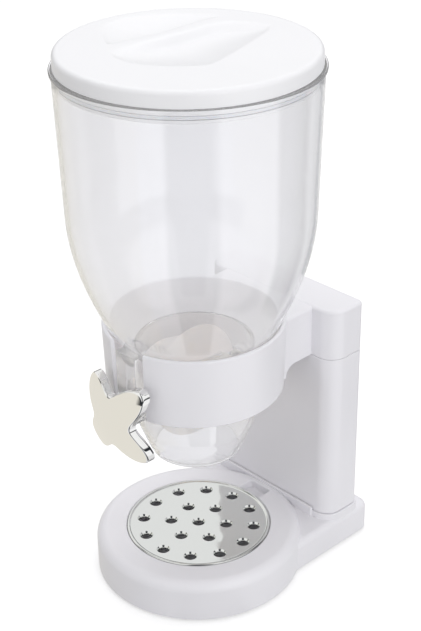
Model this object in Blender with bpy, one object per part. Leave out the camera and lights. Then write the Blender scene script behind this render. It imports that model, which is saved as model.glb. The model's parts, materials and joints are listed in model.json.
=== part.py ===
"""Countertop cereal dispenser: a clear hopper in an open collar, emptied by a paddle wheel with a star knob.

Metres, Z up. The object stands on z = 0 with its box centred on x = 0, y = 0. Every piece is drawn in the
stand's own frame, where the hopper's axis is x = 0, y = 0, the knob looks to -Y and the post stands at +Y.
"""
import math

import bmesh
import bpy

# Shared clearances
GAP = 0.0003
OVERRUN = 0.002
MERGE_DISTANCE = 0.000005

# Facets round a turned piece
LARGE_STEPS = 48
SMALL_STEPS = 16
SCREW_STEPS = 10
CORNER_STEPS = 5
CURVE_STEPS = 6

# Base: a round disc that runs into a rear block
BASE_UNDERSIDE_Z = 0.002
BASE_WALL = 0.0025
DISC_TOP_Z = 0.032
DISC_REACH = 0.0023
DISC_EDGE_ROUND = 0.008
BLOCK_STEP = 0.007
BLOCK_SIDE_MARGIN = 0.0025
BLOCK_REAR_MARGIN = 0.0125
BLOCK_EDGE_ROUND = 0.005
BLOCK_CORNER_ROUND = 0.008
SHOULDER_WIDTH = 0.006

# Crumb well, thumb notch and rib in the base
WELL_CLEARANCE = 0.0025
WELL_FLOOR_WALL = 0.0025
TRAY_LEDGE_WIDTH = 0.0022
TRAY_LEDGE_DEPTH = 0.004
NOTCH_HALF_WIDTH = 0.010
NOTCH_REACH = 0.0125
NOTCH_DEPTH = 0.006
RIB_END_INSET = 0.0145
RIB_THICKNESS = 0.002
RIB_STANDOFF = 0.0006
RIB_RISE = 0.0005

# Underside cover, its screws and the feet
COVER_THICKNESS = 0.003
COVER_RECESS = 0.0012
FOOT_RADIUS = 0.0075
FOOT_INSET = 0.013
FOOT_FRONT_HEADING = math.radians(60)
COVER_SCREW_INSET = 0.011
COVER_SCREW_HEADING = math.radians(38)
COVER_SCREW_SIDE_INSET = 0.010
COVER_SCREW_SETBACK = 0.0087
COVER_SCREW_LENGTH = 0.014
SCREW_SHANK_RADIUS = 0.0017
SCREW_HEAD_OVERHANG = 0.0019
SCREW_HEAD_HEIGHT = 0.0026
SCREW_SINK_HEIGHT = 0.0019
SCREW_DRIVE_RADIUS = 0.0013
SCREW_DRIVE_DEPTH = 0.0012
COLUMN_WALL = 0.0025

# Post, in two mouldings that meet at the seam
POST_SIDE_INSET = 0.0008
POST_DEPTH = 0.0323
POST_FRONT_ROUND = 0.013
POST_REAR_ROUND = 0.0045
POST_WALL = 0.0028
POST_TOP_DROP = 0.0036
POST_TOP_ROUND = 0.0025
POST_DECK = 0.0035
PLINTH_HEIGHT = 0.0045
PLINTH_MARGIN = 0.0015
POST_COLUMN_RISE = 0.032
POST_SCREW_LENGTH = 0.034
PILLAR_DROP = 0.014
POST_COLUMN_SETBACK = 0.0133
POST_COLUMN_INSET = 0.0225
BRACKET_COLUMN_INSET = 0.0205
BRACKET_SCREW_LENGTH = 0.020

# Collar and arm of the upper bracket
COLLAR_TOP_Z = 0.2036
COLLAR_HEIGHT = 0.0509
COLLAR_SPREAD = 0.0183
COLLAR_DRAFT = 0.0015
COLLAR_WALL = 0.0031
SLOT_CLEARANCE = 0.006
ARM_SIDE_INSET = 0.0199
ARM_REACH = 0.0094
ARM_SWEEP = 0.009
ARM_TOP_DROP = 0.0005

# Canister, outside profile
WALL = 0.0025
RIM_RADIUS = 0.0875
RIM_OVERHANG = 0.0013
RIM_THICKNESS = 0.0022
BODY_TAPER = 0.003
BODY_HEIGHT = 0.0985
FUNNEL_HEIGHT = 0.0814
THROAT_HEIGHT = 0.0196
CHAMBER_RADIUS = 0.045
NECK_STEP = 0.0022
OUTLET_STEP = 0.0128
OUTLET_DROP = 0.0522
OUTLET_LIP_ROUND = 0.0008

# Shaft line and the canister's two bearing bosses
SHAFT_DROP = 0.0304
JOURNAL_RADIUS = 0.0052
BUSH_WALL = 0.002
BOSS_WALL = 0.0023
BOSS_INSET = 0.0008
BOSS_TOP_DROP = 0.0046
REAR_BOSS_LENGTH = 0.008
REAR_BOSS_END_WALL = 0.0025
SPIGOT_RADIUS = 0.0035
SQUARE_HALF_SIDE = 0.0036
SQUARE_SETBACK = 0.0085

# Paddle wheel
VANE_COUNT = 6
VANE_CLEARANCE = 0.002
VANE_THICKNESS = 0.0016
VANE_LEAN = math.radians(-7)
VANE_CURL = 0.0025
VANE_ROWS = 6
VANE_STRIPS = 8
VANE_ROOT_DEPTH = 0.0026
VANE_ROOT_INSET = 0.004
CORE_WALL = 0.0054
CORE_SETBACK = 0.002

# Knob
KNOB_LOBES = 4
KNOB_TIP_RADIUS = 0.0358
KNOB_VALLEY_RADIUS = 0.0185
KNOB_LOBE_POWER = 1.17
KNOB_DOME = 0.010
KNOB_DEPTH = 0.0065
KNOB_WALL = 0.0022
KNOB_EDGE_ROUND = 0.0008
KNOB_HEADING = math.radians(48.5)
KNOB_SIDES = 64
KNOB_FACE_SHARES = (0.25, 0.5, 0.75, 0.9)
KNOB_BACK_SHARES = (0.85, 0.55, 0.28)
KNOB_CLEARANCE = 0.0009
KNOB_HUB_INSET = 0.0055
KNOB_HUB_FLANGE = 0.003
KNOB_HUB_CAP = 0.0018
KNOB_NECK_WALL = 0.0027
KNOB_RUNNING_GAP = 0.0008

# Lid
LID_HEIGHT = 0.011
LID_OVERHANG = 0.0013
LID_PLATE = 0.0028
LID_EDGE_ROUND = 0.0035
PLUG_CLEARANCE = 0.0007
PLUG_WALL = 0.0026
PLUG_DEPTH = 0.0095
SEAL_HEIGHT = 0.003
SEAL_DEPTH = 0.0014
SEAL_RISE = 0.0022
SCOOP_EDGE = 0.0007
SCOOP_WALL = 0.0022
NEAR_SCOOP_DEPTH = 0.009
FAR_SCOOP_DEPTH = 0.007
SCOOP_ROWS = 4
SCOOP_POINTS = 14

# Crumb tray
TRAY_RADIUS = 0.0527
TRAY_PLATE = 0.001
TRAY_PLATE_DROP = 0.0006
TRAY_BEAD = 0.0011
TRAY_BEAD_RISE = 0.0005
TRAY_HOLE_MOUTH = 0.0048
TRAY_HOLE_FLARE = 0.0006
TRAY_HOLE_STEPS = 12
TRAY_HOLE_MARGIN = 0.0118
TRAY_HEADING = math.radians(158.5)

# Shapes in shares of the sizes that they follow
FUNNEL_BEND_SHARES = ((0.03, 0.37), (0.45, 0.67))
THROAT_BEND_SHARES = ((0.20, 0.36), (0.55, 0.84))
CHAMBER_SHARES = ((0.14, 0.985), (0.36, 1.0), (0.56, 0.985), (0.70, 0.93), (0.80, 0.862), (0.89, 0.80),
                  (0.96, 0.745))
NEAR_SCOOP_SHARES = ((-0.31, -0.49), (-0.17, -0.545), (0.0, -0.54), (0.20, -0.44), (0.36, -0.29),
                     (0.425, -0.16), (0.37, 0.07), (0.28, 0.35), (0.17, 0.64), (0.09, 0.80))
NEAR_RIDGE_SHARES = ((-0.31, -0.49), (-0.335, -0.36), (-0.32, -0.20), (-0.305, 0.0), (-0.29, 0.20),
                     (-0.285, 0.40), (-0.265, 0.55), (-0.19, 0.66), (-0.05, 0.745), (0.09, 0.80))
FAR_SCOOP_SHARES = ((-0.44, -0.40), (-0.62, -0.29), (-0.76, -0.18), (-0.84, -0.08), (-0.86, 0.04),
                    (-0.85, 0.19), (-0.78, 0.34), (-0.67, 0.48), (-0.52, 0.60), (-0.33, 0.71))
FAR_RIDGE_SHARES = ((-0.44, -0.40), (-0.43, -0.31), (-0.41, -0.19), (-0.385, -0.02), (-0.375, 0.14),
                    (-0.38, 0.30), (-0.385, 0.44), (-0.38, 0.54), (-0.36, 0.63), (-0.33, 0.71))

# Places that follow from the sizes above: the stand
COLLAR_TOP_RADIUS = CHAMBER_RADIUS + COLLAR_SPREAD
POST_HALF_WIDTH = COLLAR_TOP_RADIUS - POST_SIDE_INSET
ARM_HALF_WIDTH = POST_HALF_WIDTH - ARM_SIDE_INSET
RIB_HALF_LENGTH = POST_HALF_WIDTH - RIB_END_INSET
POST_FRONT_Y = COLLAR_TOP_RADIUS + ARM_REACH
POST_REAR_Y = POST_FRONT_Y + POST_DEPTH
COLLAR_BOTTOM_Z = COLLAR_TOP_Z - COLLAR_HEIGHT
POST_SEAM_Z = COLLAR_BOTTOM_Z + ARM_SWEEP
POST_TOP_Z = COLLAR_TOP_Z - POST_TOP_DROP
DISC_RADIUS = POST_FRONT_Y + DISC_REACH
BLOCK_TOP_Z = DISC_TOP_Z - BLOCK_STEP
BLOCK_HALF_WIDTH = POST_HALF_WIDTH + BLOCK_SIDE_MARGIN
BLOCK_REAR_Y = POST_REAR_Y + BLOCK_REAR_MARGIN
PLINTH_TOP_Z = BLOCK_TOP_Z + PLINTH_HEIGHT
COVER_TOP_Z = BASE_UNDERSIDE_Z + COVER_THICKNESS
WELL_FLOOR_Z = COVER_TOP_Z + WELL_CLEARANCE + WELL_FLOOR_WALL
WELL_RADIUS = TRAY_RADIUS - TRAY_LEDGE_WIDTH
TRAY_LEDGE_Z = DISC_TOP_Z - TRAY_LEDGE_DEPTH
TRAY_POCKET_RADIUS = TRAY_RADIUS + GAP
TRAY_HOLE_THROAT = TRAY_HOLE_MOUTH - TRAY_HOLE_FLARE
TRAY_OUTER_RING = TRAY_RADIUS - TRAY_HOLE_MARGIN
TRAY_INNER_RING = TRAY_OUTER_RING / 2
SCREW_HEAD_RADIUS = SCREW_SHANK_RADIUS + SCREW_HEAD_OVERHANG
SCREW_HOLE_RADIUS = SCREW_SHANK_RADIUS + GAP
COLUMN_RADIUS = SCREW_HOLE_RADIUS + COLUMN_WALL
PILLAR_FOOT_Z = PLINTH_TOP_Z - PILLAR_DROP
LOWER_POST_Z = PLINTH_TOP_Z + GAP
LOWER_POST_TOP_Z = POST_SEAM_Z - GAP
POST_COLUMN_SIDE_X = POST_HALF_WIDTH - POST_WALL - COLUMN_RADIUS / 2
POST_COLUMN_REAR_Y = POST_REAR_Y - POST_WALL - COLUMN_RADIUS / 2
POST_COLUMNS = [(side * x, y) for x, y in ((POST_COLUMN_SIDE_X, POST_FRONT_Y + POST_COLUMN_SETBACK),
                                           (POST_HALF_WIDTH - POST_COLUMN_INSET, POST_COLUMN_REAR_Y))
                for side in (-1, 1)]
BRACKET_COLUMNS = [(side * (POST_HALF_WIDTH - BRACKET_COLUMN_INSET), (POST_FRONT_Y + POST_REAR_Y) / 2)
                   for side in (-1, 1)]
COVER_SCREW_RING = DISC_RADIUS - COVER_SCREW_INSET
COVER_COLUMNS = [(side * COVER_SCREW_RING * math.cos(COVER_SCREW_HEADING),
                  -COVER_SCREW_RING * math.sin(COVER_SCREW_HEADING)) for side in (-1, 1)]
COVER_COLUMNS += [(side * (BLOCK_HALF_WIDTH - COVER_SCREW_SIDE_INSET), POST_FRONT_Y - COVER_SCREW_SETBACK)
                  for side in (-1, 1)]
FOOT_RING_RADIUS = DISC_RADIUS - FOOT_INSET
FOOT_PLACES = [(side * FOOT_RING_RADIUS * math.cos(FOOT_FRONT_HEADING),
                -FOOT_RING_RADIUS * math.sin(FOOT_FRONT_HEADING)) for side in (-1, 1)]
FOOT_PLACES += [(side * (BLOCK_HALF_WIDTH - FOOT_INSET), BLOCK_REAR_Y - FOOT_INSET) for side in (-1, 1)]
ORIGIN_Y = (RIM_RADIUS - BLOCK_REAR_Y) / 2

# Places that follow from the sizes above: the hopper, its wheel and its lid
NECK_Z = COLLAR_TOP_Z - THROAT_HEIGHT
NECK_RADIUS = CHAMBER_RADIUS - NECK_STEP
SHAFT_Z = NECK_Z - SHAFT_DROP
OUTLET_Z = SHAFT_Z - OUTLET_DROP
OUTLET_RADIUS = CHAMBER_RADIUS - OUTLET_STEP
CHAMBER_HEIGHT = NECK_Z - OUTLET_Z
BODY_FOOT_Z = COLLAR_TOP_Z + FUNNEL_HEIGHT
RIM_TOP_Z = BODY_FOOT_Z + BODY_HEIGHT
BODY_TOP_RADIUS = RIM_RADIUS - RIM_OVERHANG
BODY_FOOT_RADIUS = BODY_TOP_RADIUS - BODY_TAPER
BUSH_RADIUS = JOURNAL_RADIUS + BUSH_WALL
BUSH_BORE = BUSH_RADIUS + GAP
BOSS_HALF_WIDTH = BUSH_RADIUS + BOSS_WALL
BOSS_FRONT_Y = BOSS_INSET - COLLAR_TOP_RADIUS
BOSS_REAR_Y = CHAMBER_RADIUS + REAR_BOSS_LENGTH
BOSS_TOP_Z = COLLAR_TOP_Z - BOSS_TOP_DROP
SLOT_HALF_WIDTH = BOSS_HALF_WIDTH + SLOT_CLEARANCE
VANE_RADIUS = CHAMBER_RADIUS - WALL - VANE_CLEARANCE
SQUARE_HALF_LENGTH = CHAMBER_RADIUS - WALL - SQUARE_SETBACK
CORE_RADIUS = SQUARE_HALF_SIDE + CORE_WALL
CORE_HALF_LENGTH = SQUARE_HALF_LENGTH - CORE_SETBACK
VANE_ROOT_HALF_LENGTH = CORE_HALF_LENGTH - VANE_ROOT_INSET
KNOB_FACE_Y = BOSS_FRONT_Y - KNOB_CLEARANCE - KNOB_DEPTH - KNOB_DOME
KNOB_HUB_RADIUS = KNOB_VALLEY_RADIUS - KNOB_HUB_INSET
KNOB_HUB_FRONT_Y = KNOB_FACE_Y + KNOB_DOME * (KNOB_HUB_RADIUS / KNOB_TIP_RADIUS) ** 2 + KNOB_WALL + GAP
MOUTH_RADIUS = BODY_TOP_RADIUS - WALL
LID_RADIUS = MOUTH_RADIUS + LID_OVERHANG
LID_TOP_Z = RIM_TOP_Z + LID_HEIGHT
LID_SEAT_Z = RIM_TOP_Z + GAP
PLUG_RADIUS = MOUTH_RADIUS - PLUG_CLEARANCE
PLUG_FOOT_Z = LID_SEAT_Z - PLUG_DEPTH
SEAL_FOOT_Z = PLUG_FOOT_Z + SEAL_RISE


def clear_scene():
    """Removes every object that the file opened with."""
    for thing in list(bpy.data.objects):
        bpy.data.objects.remove(thing)


def plastic(name, colour, roughness, metallic=0.0, alpha=1.0, transmission=0.0):
    """Returns a Principled material in one colour."""
    material = bpy.data.materials.new(name)
    material.use_nodes = True
    shader = material.node_tree.nodes["Principled BSDF"]
    shader.inputs["Base Color"].default_value = (*colour, 1.0)
    shader.inputs["Roughness"].default_value = roughness
    shader.inputs["Metallic"].default_value = metallic
    shader.inputs["Alpha"].default_value = alpha
    shader.inputs["Transmission Weight"].default_value = transmission
    material.diffuse_color = (*colour, alpha)
    return material


def place_mesh(name, mesh):
    """Turns a bmesh into an object with its faces pointing outwards."""
    bmesh.ops.remove_doubles(mesh, verts=mesh.verts, dist=MERGE_DISTANCE)
    bmesh.ops.recalc_face_normals(mesh, faces=mesh.faces)
    data = bpy.data.meshes.new(name)
    mesh.to_mesh(data)
    mesh.free()
    thing = bpy.data.objects.new(name, data)
    bpy.context.scene.collection.objects.link(thing)
    return thing


def turned(name, profile, steps=LARGE_STEPS):
    """Turns a closed outline of (radius, height) points about the Z axis."""
    mesh = bmesh.new()
    corners = [mesh.verts.new((radius, 0, height)) for radius, height in profile]
    lines = []
    for index, corner in enumerate(corners):
        before = corners[index - 1]
        if corner.co.x > MERGE_DISTANCE or before.co.x > MERGE_DISTANCE:
            lines.append(mesh.edges.new((before, corner)))
    bmesh.ops.spin(mesh, geom=corners + lines, cent=(0, 0, 0), axis=(0, 0, 1), angle=math.tau,
                   steps=steps, use_merge=True)
    return place_mesh(name, mesh)


def cylinder(name, radius, bottom, top, steps=SMALL_STEPS):
    """Upright cylinder on the Z axis."""
    return turned(name, [(0, bottom), (radius, bottom), (radius, top), (0, top)], steps)


def prism(name, outline, bottom, top, edge_round=0):
    """Raises an outline from bottom to top, with its top edges rounded where edge_round is given."""
    mesh = bmesh.new()
    floor = mesh.faces.new([mesh.verts.new((x, y, bottom)) for x, y in outline])
    raised = bmesh.ops.extrude_face_region(mesh, geom=[floor])
    upper = [item for item in raised["geom"] if isinstance(item, bmesh.types.BMVert)]
    bmesh.ops.translate(mesh, verts=upper, vec=(0, 0, top - bottom))
    if edge_round:
        ring = set(upper)
        edges = [edge for edge in mesh.edges if ring.issuperset(edge.verts)]
        bmesh.ops.bevel(mesh, geom=edges, offset=edge_round, segments=CORNER_STEPS - 1, profile=0.5,
                        affect="EDGES", clamp_overlap=True)
    return place_mesh(name, mesh)


def box(name, low, high):
    """Block between two corners."""
    outline = [(low[0], low[1]), (high[0], low[1]), (high[0], high[1]), (low[0], high[1])]
    return prism(name, outline, low[2], high[2])


def turn_to_y(thing):
    """Turns a piece drawn along +Z so that it runs along +Y at the shaft's height."""
    mesh = bmesh.new()
    mesh.from_mesh(thing.data)
    for corner in mesh.verts:
        x, y, z = corner.co
        corner.co = (x, z, SHAFT_Z - y)
    mesh.to_mesh(thing.data)
    mesh.free()
    return thing


def moved(thing, offset):
    """Shifts a piece's mesh."""
    for corner in thing.data.vertices:
        corner.co = [value + shift for value, shift in zip(corner.co, offset)]
    return thing


def grouped(name, things):
    """Puts separate solids into one object, to serve as one tool."""
    mesh = bmesh.new()
    for thing in things:
        mesh.from_mesh(thing.data)
        bpy.data.objects.remove(thing)
    return place_mesh(name, mesh)


def combine(target, tool, operation):
    """Joins a tool to the target, cuts it away or keeps what both share, and then discards the tool."""
    boolean = target.modifiers.new(operation.title(), "BOOLEAN")
    boolean.operation = operation
    boolean.solver = "EXACT"
    boolean.object = tool
    depsgraph = bpy.context.evaluated_depsgraph_get()
    result = bpy.data.meshes.new_from_object(target.evaluated_get(depsgraph))
    target.modifiers.clear()
    mesh = bmesh.new()
    mesh.from_mesh(result)
    bmesh.ops.remove_doubles(mesh, verts=mesh.verts, dist=MERGE_DISTANCE)
    mesh.to_mesh(result)
    mesh.free()
    target.data = result
    bpy.data.objects.remove(tool)
    return target


def join(target, tool):
    """Joins the tool to the target."""
    return combine(target, tool, "UNION")


def cut(target, tool):
    """Cuts the tool away from the target."""
    return combine(target, tool, "DIFFERENCE")


def arc(centre, radius, start, end, steps=CORNER_STEPS):
    """Points on an arc, both ends included."""
    return [(centre[0] + radius * math.cos(start + (end - start) * step / steps),
             centre[1] + radius * math.sin(start + (end - start) * step / steps))
            for step in range(steps + 1)]


def bend(start, end, shares, steps=CURVE_STEPS):
    """Points of a cubic curve whose two handles are given as shares of the way from start to end."""
    handles = [tuple(a + (b - a) * share for a, b, share in zip(start, end, pair)) for pair in shares]
    points = []
    for step in range(steps + 1):
        part = step / steps
        rest = 1 - part
        weights = (rest ** 3, 3 * rest ** 2 * part, 3 * rest * part ** 2, part ** 3)
        four = (start, *handles, end)
        points.append(tuple(sum(weight * point[axis] for weight, point in zip(weights, four))
                            for axis in (0, 1)))
    return points


def smooth_line(corners, count):
    """Evenly counted points on a smooth curve through the given corners."""
    points = []
    last = len(corners) - 1
    for step in range(count):
        place = step * last / (count - 1)
        index = min(int(place), last - 1)
        part = place - index
        four = [corners[max(0, min(last, index + shift))] for shift in (-1, 0, 1, 2)]
        points.append(tuple(
            (2 * b + (c - a) * part + (2 * a - 5 * b + 4 * c - d) * part ** 2
             + (3 * b - a - 3 * c + d) * part ** 3) / 2
            for a, b, c, d in zip(*four)))
    return points


def offset_line(points, distance):
    """Moves an open line to its left by the distance, at right angles to its run."""
    moved_points = []
    for index, (x, y) in enumerate(points):
        before = points[max(index - 1, 0)]
        after = points[min(index + 1, len(points) - 1)]
        run_x, run_y = after[0] - before[0], after[1] - before[1]
        length = math.hypot(run_x, run_y)
        moved_points.append((x - run_y / length * distance, y + run_x / length * distance))
    return moved_points


def rounded_rectangle(low, high, front_round, rear_round):
    """Outline with its own corner radius at the front (low y) and at the rear."""
    quarter = math.pi / 2
    outline = arc((low[0] + front_round, low[1] + front_round), front_round, 2 * quarter, 3 * quarter)
    outline += arc((high[0] - front_round, low[1] + front_round), front_round, 3 * quarter, 4 * quarter)
    outline += arc((high[0] - rear_round, high[1] - rear_round), rear_round, 0, quarter)
    outline += arc((low[0] + rear_round, high[1] - rear_round), rear_round, quarter, 2 * quarter)
    return outline


def post_outline(inset=0.0):
    """Cross-section of the post, drawn in by the inset."""
    return rounded_rectangle((-POST_HALF_WIDTH + inset, POST_FRONT_Y + inset),
                             (POST_HALF_WIDTH - inset, POST_REAR_Y - inset),
                             POST_FRONT_ROUND - inset, POST_REAR_ROUND - inset)


def columns(name, places, radius, bottom, top, steps=SMALL_STEPS):
    """Equal upright cylinders at the given places, as one tool."""
    return grouped(name, [moved(cylinder(name, radius, bottom, top, steps), (x, y, 0)) for x, y in places])


def base_blank(name, inset, bottom):
    """Disc and rear block joined, drawn in by the inset."""
    radius = DISC_RADIUS - inset
    top = DISC_TOP_Z - inset
    edge = DISC_EDGE_ROUND - inset
    profile = [(0, bottom), (radius, bottom)]
    profile += arc((radius - edge, top - edge), edge, 0, math.pi / 2)
    profile += [(0, top)]
    blank = turned(name, profile)
    outline = rounded_rectangle((-BLOCK_HALF_WIDTH + inset, 0), (BLOCK_HALF_WIDTH - inset, BLOCK_REAR_Y - inset),
                                BLOCK_EDGE_ROUND, BLOCK_CORNER_ROUND - inset)
    block = prism("block", outline, bottom, BLOCK_TOP_Z - inset, BLOCK_EDGE_ROUND - inset)
    return join(blank, block)


def shoulder(name):
    """Sloping shoulder that eases the disc's edge down onto the block."""
    top = DISC_TOP_Z - DISC_EDGE_ROUND / 2
    inner = DISC_RADIUS - DISC_EDGE_ROUND / 2
    outer = DISC_RADIUS + SHOULDER_WIDTH
    foot = BLOCK_TOP_Z - BLOCK_EDGE_ROUND / 2
    slope = bend((inner, top), (outer, BLOCK_TOP_Z), ((0.2, 0.75), (0.55, 0.97)), CORNER_STEPS)
    ring = turned(name, [(inner - OVERRUN, foot), (outer, foot)] + slope[::-1] + [(inner - OVERRUN, top)])
    inset = BLOCK_EDGE_ROUND
    room = box("shoulder_room", (-BLOCK_HALF_WIDTH + inset, 0, BASE_UNDERSIDE_Z),
               (BLOCK_HALF_WIDTH - inset, BLOCK_REAR_Y, DISC_TOP_Z))
    return combine(ring, room, "INTERSECT")


def make_base():
    """Base shell with its crumb well, thumb notch, rib, plinth and screw columns."""
    low = BASE_UNDERSIDE_Z - OVERRUN
    shell = base_blank("base_shell", 0, low)
    join(shell, shoulder("shoulder"))
    join(shell, prism("plinth", post_outline(-PLINTH_MARGIN), BLOCK_TOP_Z - OVERRUN, PLINTH_TOP_Z))
    cut(shell, base_blank("base_hollow", BASE_WALL, low - OVERRUN))
    cut(shell, prism("plinth_hollow", post_outline(BASE_WALL), BLOCK_TOP_Z - BASE_WALL - OVERRUN,
                     PLINTH_TOP_Z - BASE_WALL))
    well_wall = TRAY_POCKET_RADIUS + BASE_WALL
    roof = DISC_TOP_Z - BASE_WALL / 2
    join(shell, cylinder("well", well_wall, WELL_FLOOR_Z - WELL_FLOOR_WALL, roof, LARGE_STEPS))
    notch_rear = TRAY_POCKET_RADIUS + NOTCH_REACH
    join(shell, box("notch_wall", (-NOTCH_HALF_WIDTH - BASE_WALL, WELL_RADIUS, DISC_TOP_Z - NOTCH_DEPTH - BASE_WALL),
                    (NOTCH_HALF_WIDTH + BASE_WALL, notch_rear + BASE_WALL, roof)))
    join(shell, columns("pillars", POST_COLUMNS, COLUMN_RADIUS, PILLAR_FOOT_Z, PLINTH_TOP_Z - BASE_WALL / 2))
    join(shell, columns("front_columns", COVER_COLUMNS[:2], COLUMN_RADIUS, COVER_TOP_Z + GAP, roof))
    join(shell, columns("rear_columns", COVER_COLUMNS[2:], COLUMN_RADIUS, COVER_TOP_Z + GAP,
                        BLOCK_TOP_Z - BASE_WALL / 2))
    rib_rear = POST_FRONT_Y - RIB_STANDOFF
    join(shell, box("rib", (-RIB_HALF_LENGTH, rib_rear - RIB_THICKNESS, BLOCK_TOP_Z - BASE_WALL / 2),
                    (RIB_HALF_LENGTH, rib_rear, DISC_TOP_Z + RIB_RISE)))
    reach = DISC_RADIUS + BLOCK_REAR_Y
    cut(shell, box("floor_cut", (-reach, -reach, low - OVERRUN), (reach, reach, BASE_UNDERSIDE_Z)))
    above = DISC_TOP_Z + OVERRUN
    well_cut = turned("well_cut", [(0, WELL_FLOOR_Z), (WELL_RADIUS, WELL_FLOOR_Z), (WELL_RADIUS, TRAY_LEDGE_Z),
                                   (TRAY_POCKET_RADIUS, TRAY_LEDGE_Z), (TRAY_POCKET_RADIUS, above), (0, above)])
    cut(shell, well_cut)
    cut(shell, box("notch_cut", (-NOTCH_HALF_WIDTH, WELL_RADIUS - OVERRUN, DISC_TOP_Z - NOTCH_DEPTH),
                   (NOTCH_HALF_WIDTH, notch_rear, above)))
    cut(shell, prism("post_seat", post_outline(-GAP), PLINTH_TOP_Z, above))
    cut(shell, columns("post_screw_holes", POST_COLUMNS, SCREW_HOLE_RADIUS, PILLAR_FOOT_Z - OVERRUN,
                       PLINTH_TOP_Z + OVERRUN, SCREW_STEPS))
    return cut(shell, columns("cover_screw_holes", COVER_COLUMNS, SCREW_HOLE_RADIUS, BASE_UNDERSIDE_Z,
                              BASE_UNDERSIDE_Z + COVER_SCREW_LENGTH + GAP, SCREW_STEPS))


def sunk_screw(name, length):
    """Countersunk screw standing head down on z = 0, with a round drive recess."""
    return turned(name, [(0, SCREW_DRIVE_DEPTH), (SCREW_DRIVE_RADIUS, SCREW_DRIVE_DEPTH), (SCREW_DRIVE_RADIUS, 0),
                         (SCREW_HEAD_RADIUS, 0), (SCREW_SHANK_RADIUS, SCREW_SINK_HEIGHT),
                         (SCREW_SHANK_RADIUS, length - SCREW_SHANK_RADIUS), (0, length)], SCREW_STEPS)


def pan_screw(name, length):
    """Pan-head screw standing head down on z = 0, with a round drive recess."""
    shoulder_radius = SCREW_HEAD_RADIUS - SCREW_HEAD_HEIGHT / 3
    return turned(name, [(0, SCREW_DRIVE_DEPTH), (SCREW_DRIVE_RADIUS, SCREW_DRIVE_DEPTH), (SCREW_DRIVE_RADIUS, 0),
                         (shoulder_radius, 0), (SCREW_HEAD_RADIUS, SCREW_HEAD_HEIGHT / 2),
                         (SCREW_HEAD_RADIUS, SCREW_HEAD_HEIGHT), (SCREW_SHANK_RADIUS, SCREW_HEAD_HEIGHT),
                         (SCREW_SHANK_RADIUS, length - SCREW_SHANK_RADIUS), (0, length)], SCREW_STEPS)


def make_cover():
    """Flat underside cover with recesses for the feet and countersunk screw holes."""
    inset = BASE_WALL + GAP
    bottom, top = BASE_UNDERSIDE_Z, COVER_TOP_Z
    cover = cylinder("base_cover", DISC_RADIUS - inset, bottom, top, LARGE_STEPS)
    outline = rounded_rectangle((-BLOCK_HALF_WIDTH + inset, 0), (BLOCK_HALF_WIDTH - inset, BLOCK_REAR_Y - inset),
                                BLOCK_EDGE_ROUND, BLOCK_CORNER_ROUND - inset)
    join(cover, prism("cover_block", outline, bottom, top))
    cut(cover, columns("foot_recesses", FOOT_PLACES, FOOT_RADIUS + GAP, bottom - OVERRUN, bottom + COVER_RECESS))
    sink = SCREW_HEAD_RADIUS + GAP
    neck_z = bottom + GAP + SCREW_SINK_HEIGHT
    profile = [(0, bottom - OVERRUN), (sink, bottom - OVERRUN), (sink, bottom + GAP), (SCREW_HOLE_RADIUS, neck_z),
               (SCREW_HOLE_RADIUS, top + OVERRUN), (0, top + OVERRUN)]
    sinks = [moved(turned("sink", profile, SCREW_STEPS), (x, y, 0)) for x, y in COVER_COLUMNS]
    return cut(cover, grouped("sinks", sinks))


def foot_mesh():
    """Rubber foot, standing on z = 0 and seated in the cover's recess."""
    top = BASE_UNDERSIDE_Z + COVER_RECESS - GAP
    edge = BASE_UNDERSIDE_Z / 3
    return turned("foot", [(0, 0), (FOOT_RADIUS - edge, 0), (FOOT_RADIUS, edge), (FOOT_RADIUS, top), (0, top)])


def make_lower_post():
    """Hollow column from the plinth to the seam, with a deck at the top and four screw columns."""
    post = prism("lower_post", post_outline(), LOWER_POST_Z, LOWER_POST_TOP_Z)
    deck_z = LOWER_POST_TOP_Z - POST_DECK
    cut(post, prism("post_hollow", post_outline(POST_WALL), LOWER_POST_Z - OVERRUN, deck_z))
    column_top = LOWER_POST_Z + POST_COLUMN_RISE
    join(post, columns("post_columns", POST_COLUMNS, COLUMN_RADIUS, LOWER_POST_Z, column_top))
    hole_top = PILLAR_FOOT_Z - SCREW_HEAD_HEIGHT + POST_SCREW_LENGTH + GAP
    cut(post, columns("post_holes", POST_COLUMNS, SCREW_HOLE_RADIUS, LOWER_POST_Z - OVERRUN, hole_top,
                      SCREW_STEPS))
    return cut(post, columns("deck_holes", BRACKET_COLUMNS, SCREW_HOLE_RADIUS, deck_z - OVERRUN,
                             LOWER_POST_TOP_Z + OVERRUN, SCREW_STEPS))


def arm_side(inset, rear, drop):
    """Side view of the arm as (y, z) points, with its top drawn in by the inset and its underside dropped."""
    front = COLLAR_TOP_RADIUS * math.sqrt(1 - (ARM_HALF_WIDTH / COLLAR_TOP_RADIUS) ** 2) - COLLAR_WALL
    sweep = arc((front + COLLAR_WALL + ARM_SWEEP, COLLAR_BOTTOM_Z), ARM_SWEEP, math.pi, math.pi / 2)
    line = [(front, COLLAR_BOTTOM_Z)] + sweep + [(rear, POST_SEAM_Z)]
    top = POST_TOP_Z - ARM_TOP_DROP - inset
    return [(y, z - drop) for y, z in line] + [(rear, top), (front, top)]


def arm_block(name, inset, rear, drop=0):
    """Arm between the collar and the post; its underside dips where it meets the collar."""
    mesh = bmesh.new()
    half = ARM_HALF_WIDTH - inset
    side = mesh.faces.new([mesh.verts.new((-half, y, z)) for y, z in arm_side(inset, rear, drop)])
    raised = bmesh.ops.extrude_face_region(mesh, geom=[side])
    far = [item for item in raised["geom"] if isinstance(item, bmesh.types.BMVert)]
    bmesh.ops.translate(mesh, verts=far, vec=(2 * half, 0, 0))
    return place_mesh(name, mesh)


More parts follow.
